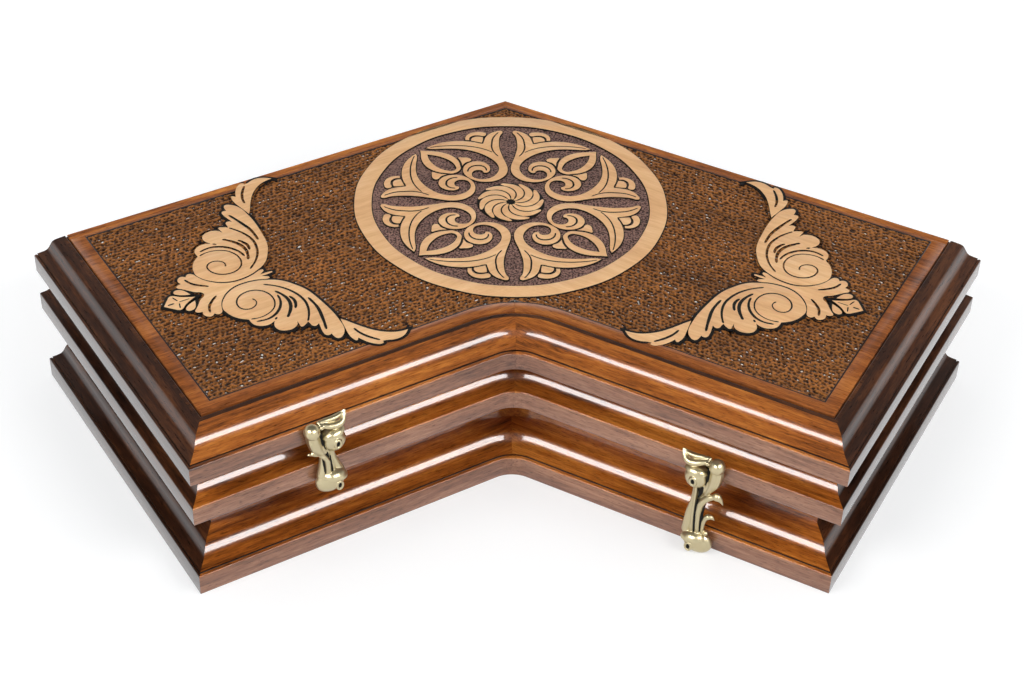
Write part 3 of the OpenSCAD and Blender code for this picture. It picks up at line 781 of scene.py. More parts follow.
@dataclass
class MouldedFrames:
    """Moulded rails, mitred at the corners and carried round the notch, with outer rails and panels."""

    leaf_height: float = 30.8
    leaf_step: float = 31.1
    mould: float = 20.0
    lip: float = 23.0
    wall: float = 28.0
    panel: float = 6.0
    stretch: float = 1.375
    upper_fillet: float = 13.2
    middle_fillet: float = 16.5
    lower_fillet: float = 12.5
    bead: float = 1.9
    quirk: float = 0.5
    rise: float = 6.6
    arris: float = 0.7
    swell: float = 5.2
    swell_width: float = 1.72
    swell_slope: float = 0.05
    swell_lift: float = 0.5
    swell_middle: float = 9.6
    swell_stop: float = 18.4
    steps: int = 36
    # Number of corners at the top of the upper swelling that get the stain-and-shade wood.
    stained: int = 4
    groove_width: float = 1.3
    groove_floor: float = 0.5
    groove_depth: float = 1.2
    groove_edge: float = 0.2
    upper_edge: float = 0.6
    middle_edge: float = 2.2
    middle_brow: float = 2.0
    middle_drop: float = 1.9
    middle_start: float = 1.0
    middle_steep: float = 7.5
    middle_stop: float = 13.4
    middle_back: float = 14.2
    back_edge: float = 0.4
    lower_edge: float = 0.4
    edge: float = 0.35

    def wave(self, start: float, stop: float, middle: float, base: float) -> list[Point]:
        """Swelling of a section, hollow at its foot and round at its top.

        Args:
            start: Inset of its foot, in mm.
            stop: Inset of its top, in mm.
            middle: Inset of its steepest place, in mm.
            base: Height of its foot, in mm.

        Returns:
            Corners of the section.
        """
        points = []
        for step in range(self.steps + 1):
            inset = start + (stop - start) * step / self.steps
            share = 0.5 + 0.5 * math.tanh((inset - middle) / self.swell_width)
            height = base + self.swell * share + self.swell_slope * (inset - start)
            points.append((inset, height, 0, Tone.FRAME))
        return points

    def quirked(self, base: float) -> list[Point]:
        """Fillet's upper edge, bead, quirk darkened with painted shade, and swelling over a height."""
        start, floor = self.bead - self.quirk, base - self.quirk
        wave = self.wave(self.bead, self.swell_stop, self.swell_middle, base + self.swell_lift)
        return [(0, base, self.arris, Tone.FRAME), (start, base, 0, Tone.STAIN),
                (start, floor, 0, Tone.STAIN), (self.bead, floor, 0, Tone.STAIN), *wave]

    def plain(self, *corners: Point) -> list[Point]:
        """Sharp corners of a section in the frame's own wood."""
        return [(*corner, 0, Tone.FRAME) for corner in corners]

    def upper(self) -> list[Point]:
        """Section of the upper leaf, with a groove beside the panel darkened with stain and painted shade.
        """
        top, seat, fillet = self.leaf_height, self.leaf_height - self.panel, self.upper_fillet
        face = self.quirked(top - self.rise)
        # The top of the swelling beside the groove gets the dark wood: stain and painted shade.
        band = [(*corner[:3], Tone.STAIN) for corner in face[-self.stained:]]
        groove = top - self.groove_depth
        return [(0, fillet, self.upper_edge, Tone.FILLET), *face[:-self.stained], *band,
                (self.mould - self.groove_width, top, self.groove_edge, Tone.STAIN),
                (self.mould - self.groove_floor, groove, 0, Tone.STAIN),
                *self.plain((self.mould, groove), (self.mould, seat), (self.wall, seat), (self.wall, 0),
                            (self.mould, 0), (self.mould, fillet))]

    def middle(self) -> list[Point]:
        """Section of the middle leaf, whose swelling goes up behind the upper leaf's fillet."""
        top, fillet = self.leaf_height, self.middle_fillet
        wave = self.wave(self.middle_start, self.middle_stop, self.middle_steep, top - self.middle_drop)
        return [(0, fillet, self.middle_edge, Tone.FILLET),
                (0, top - self.middle_brow, self.arris, Tone.FRAME), *wave,
                (self.middle_back, wave[-1][1], self.back_edge, Tone.FRAME),
                *self.plain((self.middle_back, top), (self.wall, top), (self.wall, self.panel),
                            (self.lip, self.panel), (self.lip, 0), (self.mould, 0), (self.mould, fillet))]

    def lower(self) -> list[Point]:
        """Section of the lower leaf."""
        top, seat = self.leaf_height, self.leaf_height - self.panel
        return [(0, 0, self.lower_edge, Tone.FILLET), *self.quirked(self.lower_fillet),
                *self.plain((self.mould, self.lower_fillet + self.rise), (self.mould, top), (self.lip, top),
                            (self.lip, seat), (self.wall, seat), (self.wall, 0))]

    def rail(self, leaf: str, arm: Arm, corners: list[Point], level: float) -> None:
        """Sweeps a section along an arm's end and inner side.

        Args:
            leaf: The leaf's name.
            arm: The arm.
            corners: The section's corners.
            level: Height of the leaf's underside, in mm.
        """
        bm = bmesh.new()
        section = rounded(corners)
        rings = []
        for inset, height, _ in section:
            spots = [arm.plan(ARM_LENGTH - inset, 0.0), *notch_path(arm, inset, inset * self.stretch)]
            rings.append([bm.verts.new((*spot, (level + height) * MM)) for spot in spots])
        for number, (_, _, tone) in enumerate(section):
            first, second = rings[number], rings[(number + 1) % len(rings)]
            for step in range(len(first) - 1):
                face = bm.faces.new((first[step], first[step + 1], second[step + 1], second[step]))
                at_end = step == 0 and tone is not Tone.STAIN
                face.material_index = Tone.END if at_end else tone
        for end, tone in ((0, Tone.END), (-1, Tone.FRAME)):
            bm.faces.new([ring[end] for ring in rings]).material_index = tone
        bmesh.ops.recalc_face_normals(bm, faces=bm.faces)
        # The stain-and-shade wood darkens quirk and groove with painted shade; the fillet wood holds a
        # painted reflection of the floor.
        woods = [FRAME_WOOD.material(Grain.along(arm)), END_WOOD.material(Grain.at_end(arm)),
                 EDGE_STAIN_AND_SHADE.material(Grain.along(arm)), FILLET_WOOD_AND_REFLECTION.material(Grain.along(arm))]
        add_piece(bm, f"{leaf}_moulding_{arm.word}", woods, f"{leaf}_leaf",
                  [f"{leaf}_inner_rail_{arm.word}", f"{leaf}_end_rail_{arm.word}"], 30.0)

    def build(self) -> None:
        """Builds the moulded rails and dresses outer rails and plain panels."""
        leaves = (("upper", self.upper(), 2), ("middle", self.middle(), 1), ("lower", self.lower(), 0))
        for arm in Arm:
            for leaf, corners, step in leaves:
                self.rail(leaf, arm, corners, step * self.leaf_step)
                dress(f"{leaf}_outer_rail_{arm.word}", FRAME_WOOD.material(Grain.along(arm)), self.edge)
                if leaf != "upper":
                    dress(f"{leaf}_panel_{arm.word}", PANEL_WOOD.material(Grain.along(arm)), self.edge)


@dataclass
class PlayingFields:
    """Field boards and inlaid points in the three leaves."""

    leaves: tuple[str, ...] = ("upper", "middle", "lower")

    def build(self) -> None:
        """Dresses the boards and the points."""
        for leaf in self.leaves:
            for arm in Arm:
                dress(f"{leaf}_field_{arm.word}", FIELD_WOOD.material(Grain.along(arm)))
            dress(f"{leaf}_points_dark", POINT_DARK.material(Grain.ACROSS))
            dress(f"{leaf}_points_light", POINT_LIGHT.material(Grain.ACROSS))


@dataclass
class FoldHinges:
    """Butt hinges of the two folds."""

    folds: tuple[tuple[str, str, str], ...] = (("upper", "upper", "middle"), ("lower", "middle", "lower"))
    edge: float = 0.2

    def build(self) -> None:
        """Dresses plates, pins and screws in brass."""
        brass = SHEET_BRASS.material()
        for fold, first, second in self.folds:
            dress(f"{fold}_fold_pins", brass, self.edge)
            for leaf in (first, second):
                dress(f"{fold}_fold_plates_{leaf}", brass, self.edge)
                dress(f"{fold}_fold_screws_{leaf}", brass, self.edge)


def half_turned(knots: Iterable[Point]) -> list[Point]:
    """The same knots on the other side of the axis, in reverse order."""
    return [(knot[0], -knot[1], *knot[2:]) for knot in reversed(list(knots))]


def stroke(line: Iterable[Point], width: float, ends: float = 0.3) -> list[Point]:
    """Outline of an engraved stroke that swells towards its middle.

    Args:
        line: Its centre line.
        width: Its width at the middle.
        ends: Share of the width at its ends.

    Returns:
        The closed outline.
    """
    points = [Vector(knot[:2]) for knot in line]
    last = len(points) - 1
    sides: tuple[list[Point], list[Point]] = ([], [])
    for number, point in enumerate(points):
        ahead = points[min(number + 1, last)] - points[max(number - 1, 0)]
        across = Vector((-ahead.y, ahead.x)).normalized()
        swell = ends + (1 - ends) * math.sin(math.pi * number / last) ** 0.6
        for side, sign in zip(sides, (1, -1)):
            side.append(tuple(point + across * (sign * swell * width / 2)))
    return sides[0] + sides[1][::-1]


def add_plate(bm: bmesh.types.BMesh, loops: Iterable[Iterable[Point]], place: Place, low: float,
              high: float, number: int = 0, rim: float = 0.12, grow: float = 0.0, steps: int = 4,
              wall: int | None = None) -> None:
    """Adds a flat plate with a softened rim, cut along smooth outlines.

    Args:
        bm: The mesh that takes the plate.
        loops: Its outline, and then its holes. A third value in a knot marks a corner.
        place: Gives the plan point of a knot.
        low: Height of its underside, in mm.
        high: Height of its top, in mm.
        number: Number of its material.
        rim: Rounding of its edges, in mm.
        grow: Distance that the outline moves outwards, in mm.
        steps: Points between two knots.
        wall: Number of the material of its sides, where it differs.
    """
    curve = bpy.data.curves.new("outline", "CURVE")
    curve.dimensions = "2D"
    curve.fill_mode = "BOTH"
    curve.resolution_u = steps
    curve.extrude = ((high - low) / 2 - rim) * MM
    curve.bevel_depth = rim * MM
    curve.bevel_resolution = 1
    curve.offset = (grow - rim) * MM
    for loop in loops:
        knots = list(loop)
        spline = curve.splines.new("BEZIER")
        spline.bezier_points.add(len(knots) - 1)
        spline.use_cyclic_u = True
        for point, knot in zip(spline.bezier_points, knots):
            point.co = (*place(knot[0], knot[1]), 0.0)
            style = "VECTOR" if len(knot) > 2 else "AUTO"
            point.handle_left_type = style
            point.handle_right_type = style
    shape = bpy.data.objects.new("outline", curve)
    bpy.context.scene.collection.objects.link(shape)
    mesh = bpy.data.meshes.new_from_object(shape.evaluated_get(bpy.context.evaluated_depsgraph_get()))
    bpy.data.objects.remove(shape)
    bpy.data.curves.remove(curve)
    mesh.transform(Matrix.Translation((0, 0, (low + high) / 2 * MM)))
    first = len(bm.faces)
    bm.from_mesh(mesh)
    bpy.data.meshes.remove(mesh)
    bm.faces.ensure_lookup_table()
    for face in bm.faces[first:]:
        steep = wall is not None and abs(face.normal.z) < 0.5
        face.material_index = wall if steep else number


def close_up(bm: bmesh.types.BMesh) -> None:
    """Merges the doubles of a mesh and turns its faces outwards."""
    bmesh.ops.remove_doubles(bm, verts=bm.verts, dist=0.002 * MM)
    bmesh.ops.recalc_face_normals(bm, faces=bm.faces)


def split_by_arm(bm: bmesh.types.BMesh) -> None:
    """Gives tan faces left of the mitre the left arm's wood."""
    for face in bm.faces:
        if face.material_index == 0 and face.calc_center_median().x < 0:
            face.material_index = 1


LID = LID_TOP / MM
PLATE_RIM = 0.12
LINE_RIM = 0.05
BED_STEP = 0.2
ORNAMENT_WOODS = [TAN_WOOD.material(Grain.RIGHT_ARM), TAN_WOOD.material(Grain.LEFT_ARM),
                  BURNT_LINE.material(Grain.ACROSS)]
BURNT = 2
BED = LID - 1.5


def inlay(bm: bmesh.types.BMesh, loops: list[list[Point]], place: Place, outline: float, sunk: float,
          open_holes: bool = False, steps: int = 4, lift: float = 0.0) -> None:
    """Adds one raised plate with burnt sides and a burnt line round it.

    Args:
        bm: The mesh that takes both.
        loops: The plate's outline, and then its strokes or holes.
        place: Gives the plan point of a knot.
        outline: Width of the burnt line, in mm.
        sunk: Depth of the burnt line under the plate's top, in mm.
        open_holes: Whether the ground shows through the holes.
        steps: Points between two knots.
        lift: Height of the plate's top over the lid's border, in mm.
    """
    top = LID + lift
    add_plate(bm, loops, place, BED, top, 0, PLATE_RIM, 0.0, steps, BURNT)
    lines = loops if open_holes else loops[:1]
    add_plate(bm, lines, place, BED - BED_STEP, top - sunk, BURNT, LINE_RIM, outline, steps)


@dataclass(frozen=True)
class Punch:
    """Pattern of a punched ground: one leaning pit to a cell, with wrinkles between them."""

    cell: float
    pit: float
    depth: float
    ridge: float
    seed: int
    stray: Point = (0.26, 0.22)
    lean: Point = (12.0, 30.0)
    length: Point = (0.85, 1.4)
    width: Point = (0.65, 1.0)
    share: Point = (0.5, 1.2)
    coarse: Point = (0.3, 0.85)
    fine: Point = (0.8, 1.6)
    margin: float = 14.0

    @cached_property
    def pits(self) -> dict[tuple[int, int], Point]:
        """Place, lean, half sizes and depth of the pit in each cell, in mm."""
        dice = random.Random(self.seed)
        made = {}
        reach = round((ARM_LENGTH + self.margin) / self.cell)
        aside, apart = self.stray
        for row in range(-1, reach):
            for column in range(-1, reach):
                along = (column + 0.5 + 0.5 * (row % 2) + dice.uniform(-aside, aside)) * self.cell
                inward = (row + 0.5 + dice.uniform(-apart, apart)) * self.cell
                lean = math.radians(dice.gauss(*self.lean))
                long = self.pit * dice.uniform(*self.length)
                wide = self.pit * dice.uniform(*self.width)
                deep = self.depth * dice.uniform(*self.share)
                made[column, row] = (along, inward, math.cos(lean), math.sin(lean), long, wide, deep)
        return made

    def level(self, along: float, inward: float) -> float:
        """Height of the ground at a place over its mean, in mm.

        Args:
            along: Distance along the arm, in mm.
            inward: Distance from the outer side, in mm.

        Returns:
            The height in mm.
        """
        level = 0.0
        for scale, shift in ((self.coarse, 0.0), (self.fine, 5.0)):
            spot = (along * scale[0], inward * scale[1], self.seed + shift)
            level += self.ridge * noise.noise(Vector(spot))
        column, row = math.floor(along / self.cell), math.floor(inward / self.cell)
        for near_row in (row - 1, row, row + 1):
            for near_column in (column - 2, column - 1, column, column + 1):
                pit = self.pits.get((near_column, near_row))
                if pit:
                    east, south = along - pit[0], inward - pit[1]
                    near = ((east * pit[2] + south * pit[3]) / pit[4]) ** 2
                    near += ((south * pit[2] - east * pit[3]) / pit[5]) ** 2
                    if near < 1.0:
                        level -= pit[6] * (1.0 - near)
        return level


@dataclass
class CarvedGround:
    """Board of the lid: plain border, engraved line and punched ground."""

    outer_strip: float = 4.6
    end_mould: float = 20.1
    inner_mould: float = 27.6
    border_width: float = 8.0
    border_outer: float = 1.5
    border_line: float = 1.0
    medal_centre: float = 108.4
    medal_radius: float = 84.0
    step: float = 0.64
    ground_start: float = 3.0
    tuck_inner: float = 1.0
    tuck_end: float = 4.0
    tuck_notch: float = 5.0
    tuck_ring: float = 3.0
    line_depth: float = 0.15
    floor: float = LID - 0.5
    under: float = LID - 6.0
    punch: Punch = Punch(2.6, 1.2, 0.95, 0.2, 7)
    fine_punch: Punch = Punch(1.9, 0.8, 0.4, 0.1, 9)

    def edge(self, arm: Arm, outer: float, end: float, inner: float) -> list[Point]:
        """Edge of the panel or of its border on one arm, from the apex to the notch.

        Args:
            arm: The arm.
            outer: Inset from the outer side, in mm.
            end: Inset from the arm's end, in mm.
            inner: Inset from the inner side, in mm.

        Returns:
            Plan points in mm, all of them corners.
        """
        spots = [(outer * math.tan(ARM_TURN), outer), (ARM_LENGTH - end, outer)]
        points = [arm.plan(*spot) for spot in spots] + notch_path(arm, end, inner)
        return [(x / MM, y / MM, 1) for x, y in points]

    def border(self, arm: Arm) -> None:
        """Builds the plain border of one arm."""
        bm = bmesh.new()
        rim = self.edge(arm, self.outer_strip, self.end_mould, self.inner_mould)
        line = self.edge(arm, self.outer_strip + self.border_outer, self.end_mould + self.border_width,
                         self.inner_mould + self.border_width)
        far = self.border_width + self.border_line
        groove = self.edge(arm, self.outer_strip + self.border_outer + self.border_line,
                           self.end_mould + far, self.inner_mould + far)

        def place(x: float, y: float) -> tuple[float, float]:
            return x * MM, y * MM

        add_plate(bm, [rim + line[::-1]], place, self.under, LID, 0, 0.25, 0.0, 1)
        add_plate(bm, [line + groove[::-1]], place, self.under, LID - self.line_depth, 1, 0.35, 0.0, 1)
        close_up(bm)
        woods = [wood.material(Grain.along(arm)) for wood in (PANEL_WOOD, BORDER_LINE)]
        add_piece(bm, f"lid_border_{arm.word}", woods, "upper_leaf")

    def close_below(self, bm: bmesh.types.BMesh) -> None:
        """Carries the edge of a punched sheet down to the panel's underside and closes it."""
        rim = [edge for edge in bm.edges if edge.is_boundary]
        made = bmesh.ops.extrude_edge_only(bm, edges=rim)["geom"]
        for vert in (item for item in made if isinstance(item, bmesh.types.BMVert)):
            vert.co.z = self.under * MM
        base = [edge for edge in bm.edges if edge.is_boundary]
        bmesh.ops.contextual_create(bm, geom=base)
        bmesh.ops.recalc_face_normals(bm, faces=bm.faces)

    def ground(self, arm: Arm) -> None:
        """Builds the punched ground of one arm."""
        punch = replace(self.punch, seed=self.punch.seed + arm.value)
        bm = bmesh.new()
        across = ARM_WIDTH - self.inner_mould - self.border_width + self.tuck_inner
        along = ARM_LENGTH - self.end_mould - self.border_width + self.tuck_end
        bmesh.ops.create_grid(bm, x_segments=round(along / self.step), y_segments=round(across / self.step),
                              size=0.5)
        for vert in bm.verts:
            spot = arm.plan((vert.co.x + 0.5) * along, self.ground_start + (vert.co.y + 0.5) * across)
            vert.co = (*spot, self.floor * MM)
        cut = bm.verts[:] + bm.edges[:] + bm.faces[:]
        bmesh.ops.bisect_plane(bm, geom=cut, plane_co=(0, 0, 0), plane_no=(-arm.value, 0, 0),
                               clear_outer=True)
        medal = Vector((0, APEX_Y - self.medal_centre * MM))
        notch = Vector((0, APEX_Y - (ARM_WIDTH + NOTCH_RADIUS) / math.cos(ARM_TURN) * MM))
        reach = (NOTCH_RADIUS + self.inner_mould + self.border_width - self.tuck_notch) * MM
        inside = (self.medal_radius - self.tuck_ring) * MM
        lost = []
        for face in bm.faces:
            middle = face.calc_center_median().xy
            if (middle - medal).length < inside or (middle - notch).length < reach:
                lost.append(face)
        bmesh.ops.delete(bm, geom=lost, context="FACES")
        bmesh.ops.recalc_face_normals(bm, faces=bm.faces)
        if sum(face.normal.z for face in bm.faces) < 0:
            bmesh.ops.reverse_faces(bm, faces=bm.faces)
        self.hammer(bm, punch, arm, self.floor)
        self.close_below(bm)
        # Its last value sets the strength of the painted highlight glints in the pits.
        finish = GroundFinish(f"punched_ground_{arm.word}", (24, 15, 11), (86, 51, 22), (164, 102, 44),
                              (self.floor - 0.66) * MM, (self.floor + 0.3) * MM, Grain.along(arm),
                              speckle=0.2, glint=0.85)
        add_piece(bm, f"lid_ground_{arm.word}", [finish.material()], "upper_leaf",
                  [f"upper_panel_{arm.word}"], 180.0)

    def hammer(self, bm: bmesh.types.BMesh, punch: Punch, arm: Arm, floor: float) -> None:
        """Gives a flat sheet the relief of a punched ground.

        Args:
            bm: The sheet.
            punch: The pattern.
            arm: The arm whose rows it follows.
            floor: Mean height of the ground, in mm.
        """
        cos, sin = math.cos(ARM_TURN), math.sin(ARM_TURN)
        for vert in bm.verts:
            x, y = arm.value * vert.co.x / MM, (APEX_Y - vert.co.y) / MM
            vert.co.z = (floor + punch.level(x * cos + y * sin, y * cos - x * sin)) * MM

    def medal_ground(self) -> None:
        """Builds the fine stippled ground inside the ring."""
        bm = bmesh.new()
        count = round(2 * self.medal_radius / self.step)
        bmesh.ops.create_grid(bm, x_segments=count, y_segments=count, size=self.medal_radius * MM)
        far = [face for face in bm.faces if face.calc_center_median().xy.length > self.medal_radius * MM]
        bmesh.ops.delete(bm, geom=far, context="FACES")
        bmesh.ops.translate(bm, verts=bm.verts, vec=(0, APEX_Y - self.medal_centre * MM, 0))
        self.hammer(bm, self.fine_punch, Arm.RIGHT, self.floor - 0.2)
        self.close_below(bm)
        finish = GroundFinish("stippled_ground", (40, 26, 25), (84, 58, 53), (146, 112, 100),
                              (self.floor - 0.5) * MM, (self.floor + 0.05) * MM, Grain.ACROSS, 0.55)
        add_piece(bm, "medallion_ground", [finish.material()], "upper_leaf", (), 180.0)

    def build(self) -> None:
        """Builds borders and grounds."""
        for arm in Arm:
            self.border(arm)
            self.ground(arm)
        self.medal_ground()


@dataclass
class Medallion:
    """Ring, scroll motif of eight like parts and whirling rosette."""

    centre: float = 107.9
    radius: float = 89.7
    band: float = 9.9
    aside: float = 0.5
    rosette: float = 18.9
    petal_rows: tuple[float, ...] = (2.4, 5.0, 8.0, 11.0, 14.0, 16.8)
    petal_start: float = 20.0
    petal_rim: float = 0.3
    petal_gap: float = 0.33
    petals: int = 11
    whirl: float = 65.0
    outline: float = 0.5
    sunk: float = 0.35
    scroll: tuple[Point, ...] = (
        (3, 73.5), (4.6, 69), (5.4, 62), (5.3, 56), (4.5, 51), (3.2, 45), (1.6, 39), (0.9, 34),
        (1.6, 29), (4, 24.8), (8, 21.5), (12.5, 20.2), (17, 20.4), (21, 22), (24.5, 25), (26.7, 29),
        (27.1, 33), (26, 37), (23.3, 40), (19.5, 41.5), (15.5, 40.8), (12.5, 38.2), (11.2, 34.5),
        (11.6, 31.5), (13.4, 29.6), (15, 29.8), (15.6, 31.3), (18.2, 32.3), (21, 31), (22, 28),
        (21.2, 25), (18.5, 23.2), (15, 22.9), (11, 24.5), (8, 27.8), (6.3, 32), (6.2, 36), (8, 41),
        (11.8, 45.8), (17, 50), (23, 53), (30, 54.6), (38, 54.7), (46, 54.2), (49, 55, 1), (46, 57.5),
        (42, 60), (36, 62.2), (30, 63), (25, 62.8), (20, 61.8), (16, 60.4), (14.9, 60.4, 1), (14.2, 64),
        (13, 68), (10.5, 71.5), (7, 73.8), (4, 74.6))
    leaf_line: tuple[Point, ...] = (
        (6.2, 47), (8.5, 51), (9.8, 56), (9.7, 61), (9, 66), (7, 70.5), (5.6, 72.6))
    long_line: tuple[Point, ...] = (
        (9.6, 51.2), (12, 53), (17, 55.6), (23, 57.3), (30, 58), (37, 57.7), (43, 56.7), (46.5, 55.8))
    curl_line: tuple[Point, ...] = ((13.4, 31.8), (13.9, 34.5), (16, 36.6), (19, 37), (22, 35.8), (24, 33),
                                    (24.4, 30.5))
    bud_core: tuple[Point, ...] = ((15.6, 61.3, 1), (22, 63.4, 1), (22, 65), (20.5, 67.3), (17.5, 68),
                                   (14.9, 67.4, 1), (15, 64.5))
    bud_husk: tuple[Point, ...] = (
        (13.2, 69.5, 1), (13, 71.5), (16, 73), (20, 72.8), (23.5, 70.8), (25.5, 67), (25.4, 64, 1),
        (23.2, 64, 1), (23, 66.5), (21, 68.8), (17.5, 69.3), (14.3, 68.6))
    almond: tuple[Point, ...] = (
        (28.6, 33), (28.8, 37), (30, 42), (33, 46.5), (38, 50), (44, 51.7), (49, 52))
    almond_tip: float = 52.4
    hollow: tuple[Point, ...] = ((31.2, 33.4), (31.8, 37), (34, 41), (38.5, 44.8), (43, 47))
    hollow_tip: float = 48.2
    small_bud: tuple[Point, ...] = ((27.6, 36.5, 1), (28, 40), (29.5, 44), (30, 45), (27, 45.4), (24, 45),
                                    (22.2, 43.2), (22.8, 41.6), (25.3, 40.2), (27, 37.8))

    def place(self, turn: int, side: int) -> Place:
        """Place of one of the eight parts.

        Args:
            turn: Number of quarter turns.
            side: 1, or -1 for a mirrored part.

        Returns:
            A function from the part's own plan to the lid's plan.
        """
        cos, sin = ((1, 0), (0, 1), (-1, 0), (0, -1))[turn]

        def spot(across: float, out: float) -> tuple[float, float]:
            x, y = side * across, out
            return (x * cos - y * sin + self.aside) * MM, APEX_Y + (x * sin + y * cos - self.centre) * MM

        return spot

    def ring(self) -> None:
        """Builds the ring in two halves that meet at the mitre."""
        bm = bmesh.new()
        steps = 16
        loops = []
        for radius in (self.radius, self.radius - self.band):
            turns = [2 * math.pi * step / steps for step in range(steps)]
            loops.append([(radius * math.sin(turn), radius * math.cos(turn)) for turn in turns])
        inlay(bm, loops, self.place(0, 1), self.outline, self.sunk, True, 10)
        close_up(bm)
        split_by_arm(bm)
        add_piece(bm, "medallion_ring", ORNAMENT_WOODS, "upper_leaf")

    def motif(self) -> None:
        """Builds the scrolls, buds and almonds."""
        bm = bmesh.new()
        lines = [stroke(self.leaf_line, 0.9), stroke(self.long_line, 0.8), stroke(self.curl_line, 1.1)]
        for turn in range(4):
            for side in (1, -1):
                place = self.place(turn, side)
                inlay(bm, [list(self.scroll), *lines], place, self.outline, self.sunk)
                for bud in (self.bud_core, self.bud_husk, self.small_bud):
                    inlay(bm, [list(bud)], place, self.outline, self.sunk)
            twin = [(v, u) for u, v in reversed(self.almond)]
            rim = [*self.almond, (self.almond_tip, self.almond_tip, 1), *twin]
            twin = [(v, u) for u, v in reversed(self.hollow)]
            hole = [*self.hollow, (self.hollow_tip, self.hollow_tip, 1), *twin]
            inlay(bm, [rim, hole], self.place(turn, 1), self.outline, self.sunk, True)
        close_up(bm)
        split_by_arm(bm)
        add_piece(bm, "medallion_motif", ORNAMENT_WOODS, "upper_leaf")

    def whirl_turn(self, radius: float) -> float:
        """Turn of a petal's edge at a radius, in radians."""
        return math.radians(self.whirl) * (radius / self.rosette) ** 1.9

    def flower(self) -> None:
        """Builds the rosette of whirling petals on a dark disc."""
        bm = bmesh.new()
        place = self.place(0, 1)
        step = 2 * math.pi / self.petals
        for petal in range(self.petals):
            start = math.radians(self.petal_start) + petal * step
            loop = []
            for radius in self.petal_rows:
                turn = start + self.whirl_turn(radius)
                loop.append((radius * math.cos(turn), radius * math.sin(turn)))
            for share in (0.3, 0.7):
                turn = start + self.whirl_turn(self.rosette) + step * share
                loop.append((self.rosette * math.cos(turn), self.rosette * math.sin(turn)))
            for radius in reversed(self.petal_rows):
                turn = start + step + self.whirl_turn(radius)
                loop.append((radius * math.cos(turn), radius * math.sin(turn)))
            add_plate(bm, [loop], place, BED, LID, 0, self.petal_rim, -self.petal_gap, 4, BURNT)
        turns = [2 * math.pi * number / 12 for number in range(12)]
        disc = [(self.rosette * math.cos(turn), self.rosette * math.sin(turn)) for turn in turns]
        add_plate(bm, [disc], place, BED - BED_STEP, LID - self.sunk, BURNT, LINE_RIM, self.outline)
        close_up(bm)
        split_by_arm(bm)
        add_piece(bm, "medallion_rosette", ORNAMENT_WOODS, "upper_leaf")

    def build(self) -> None:
        """Builds the medallion."""
        self.ring()
        self.motif()
        self.flower()


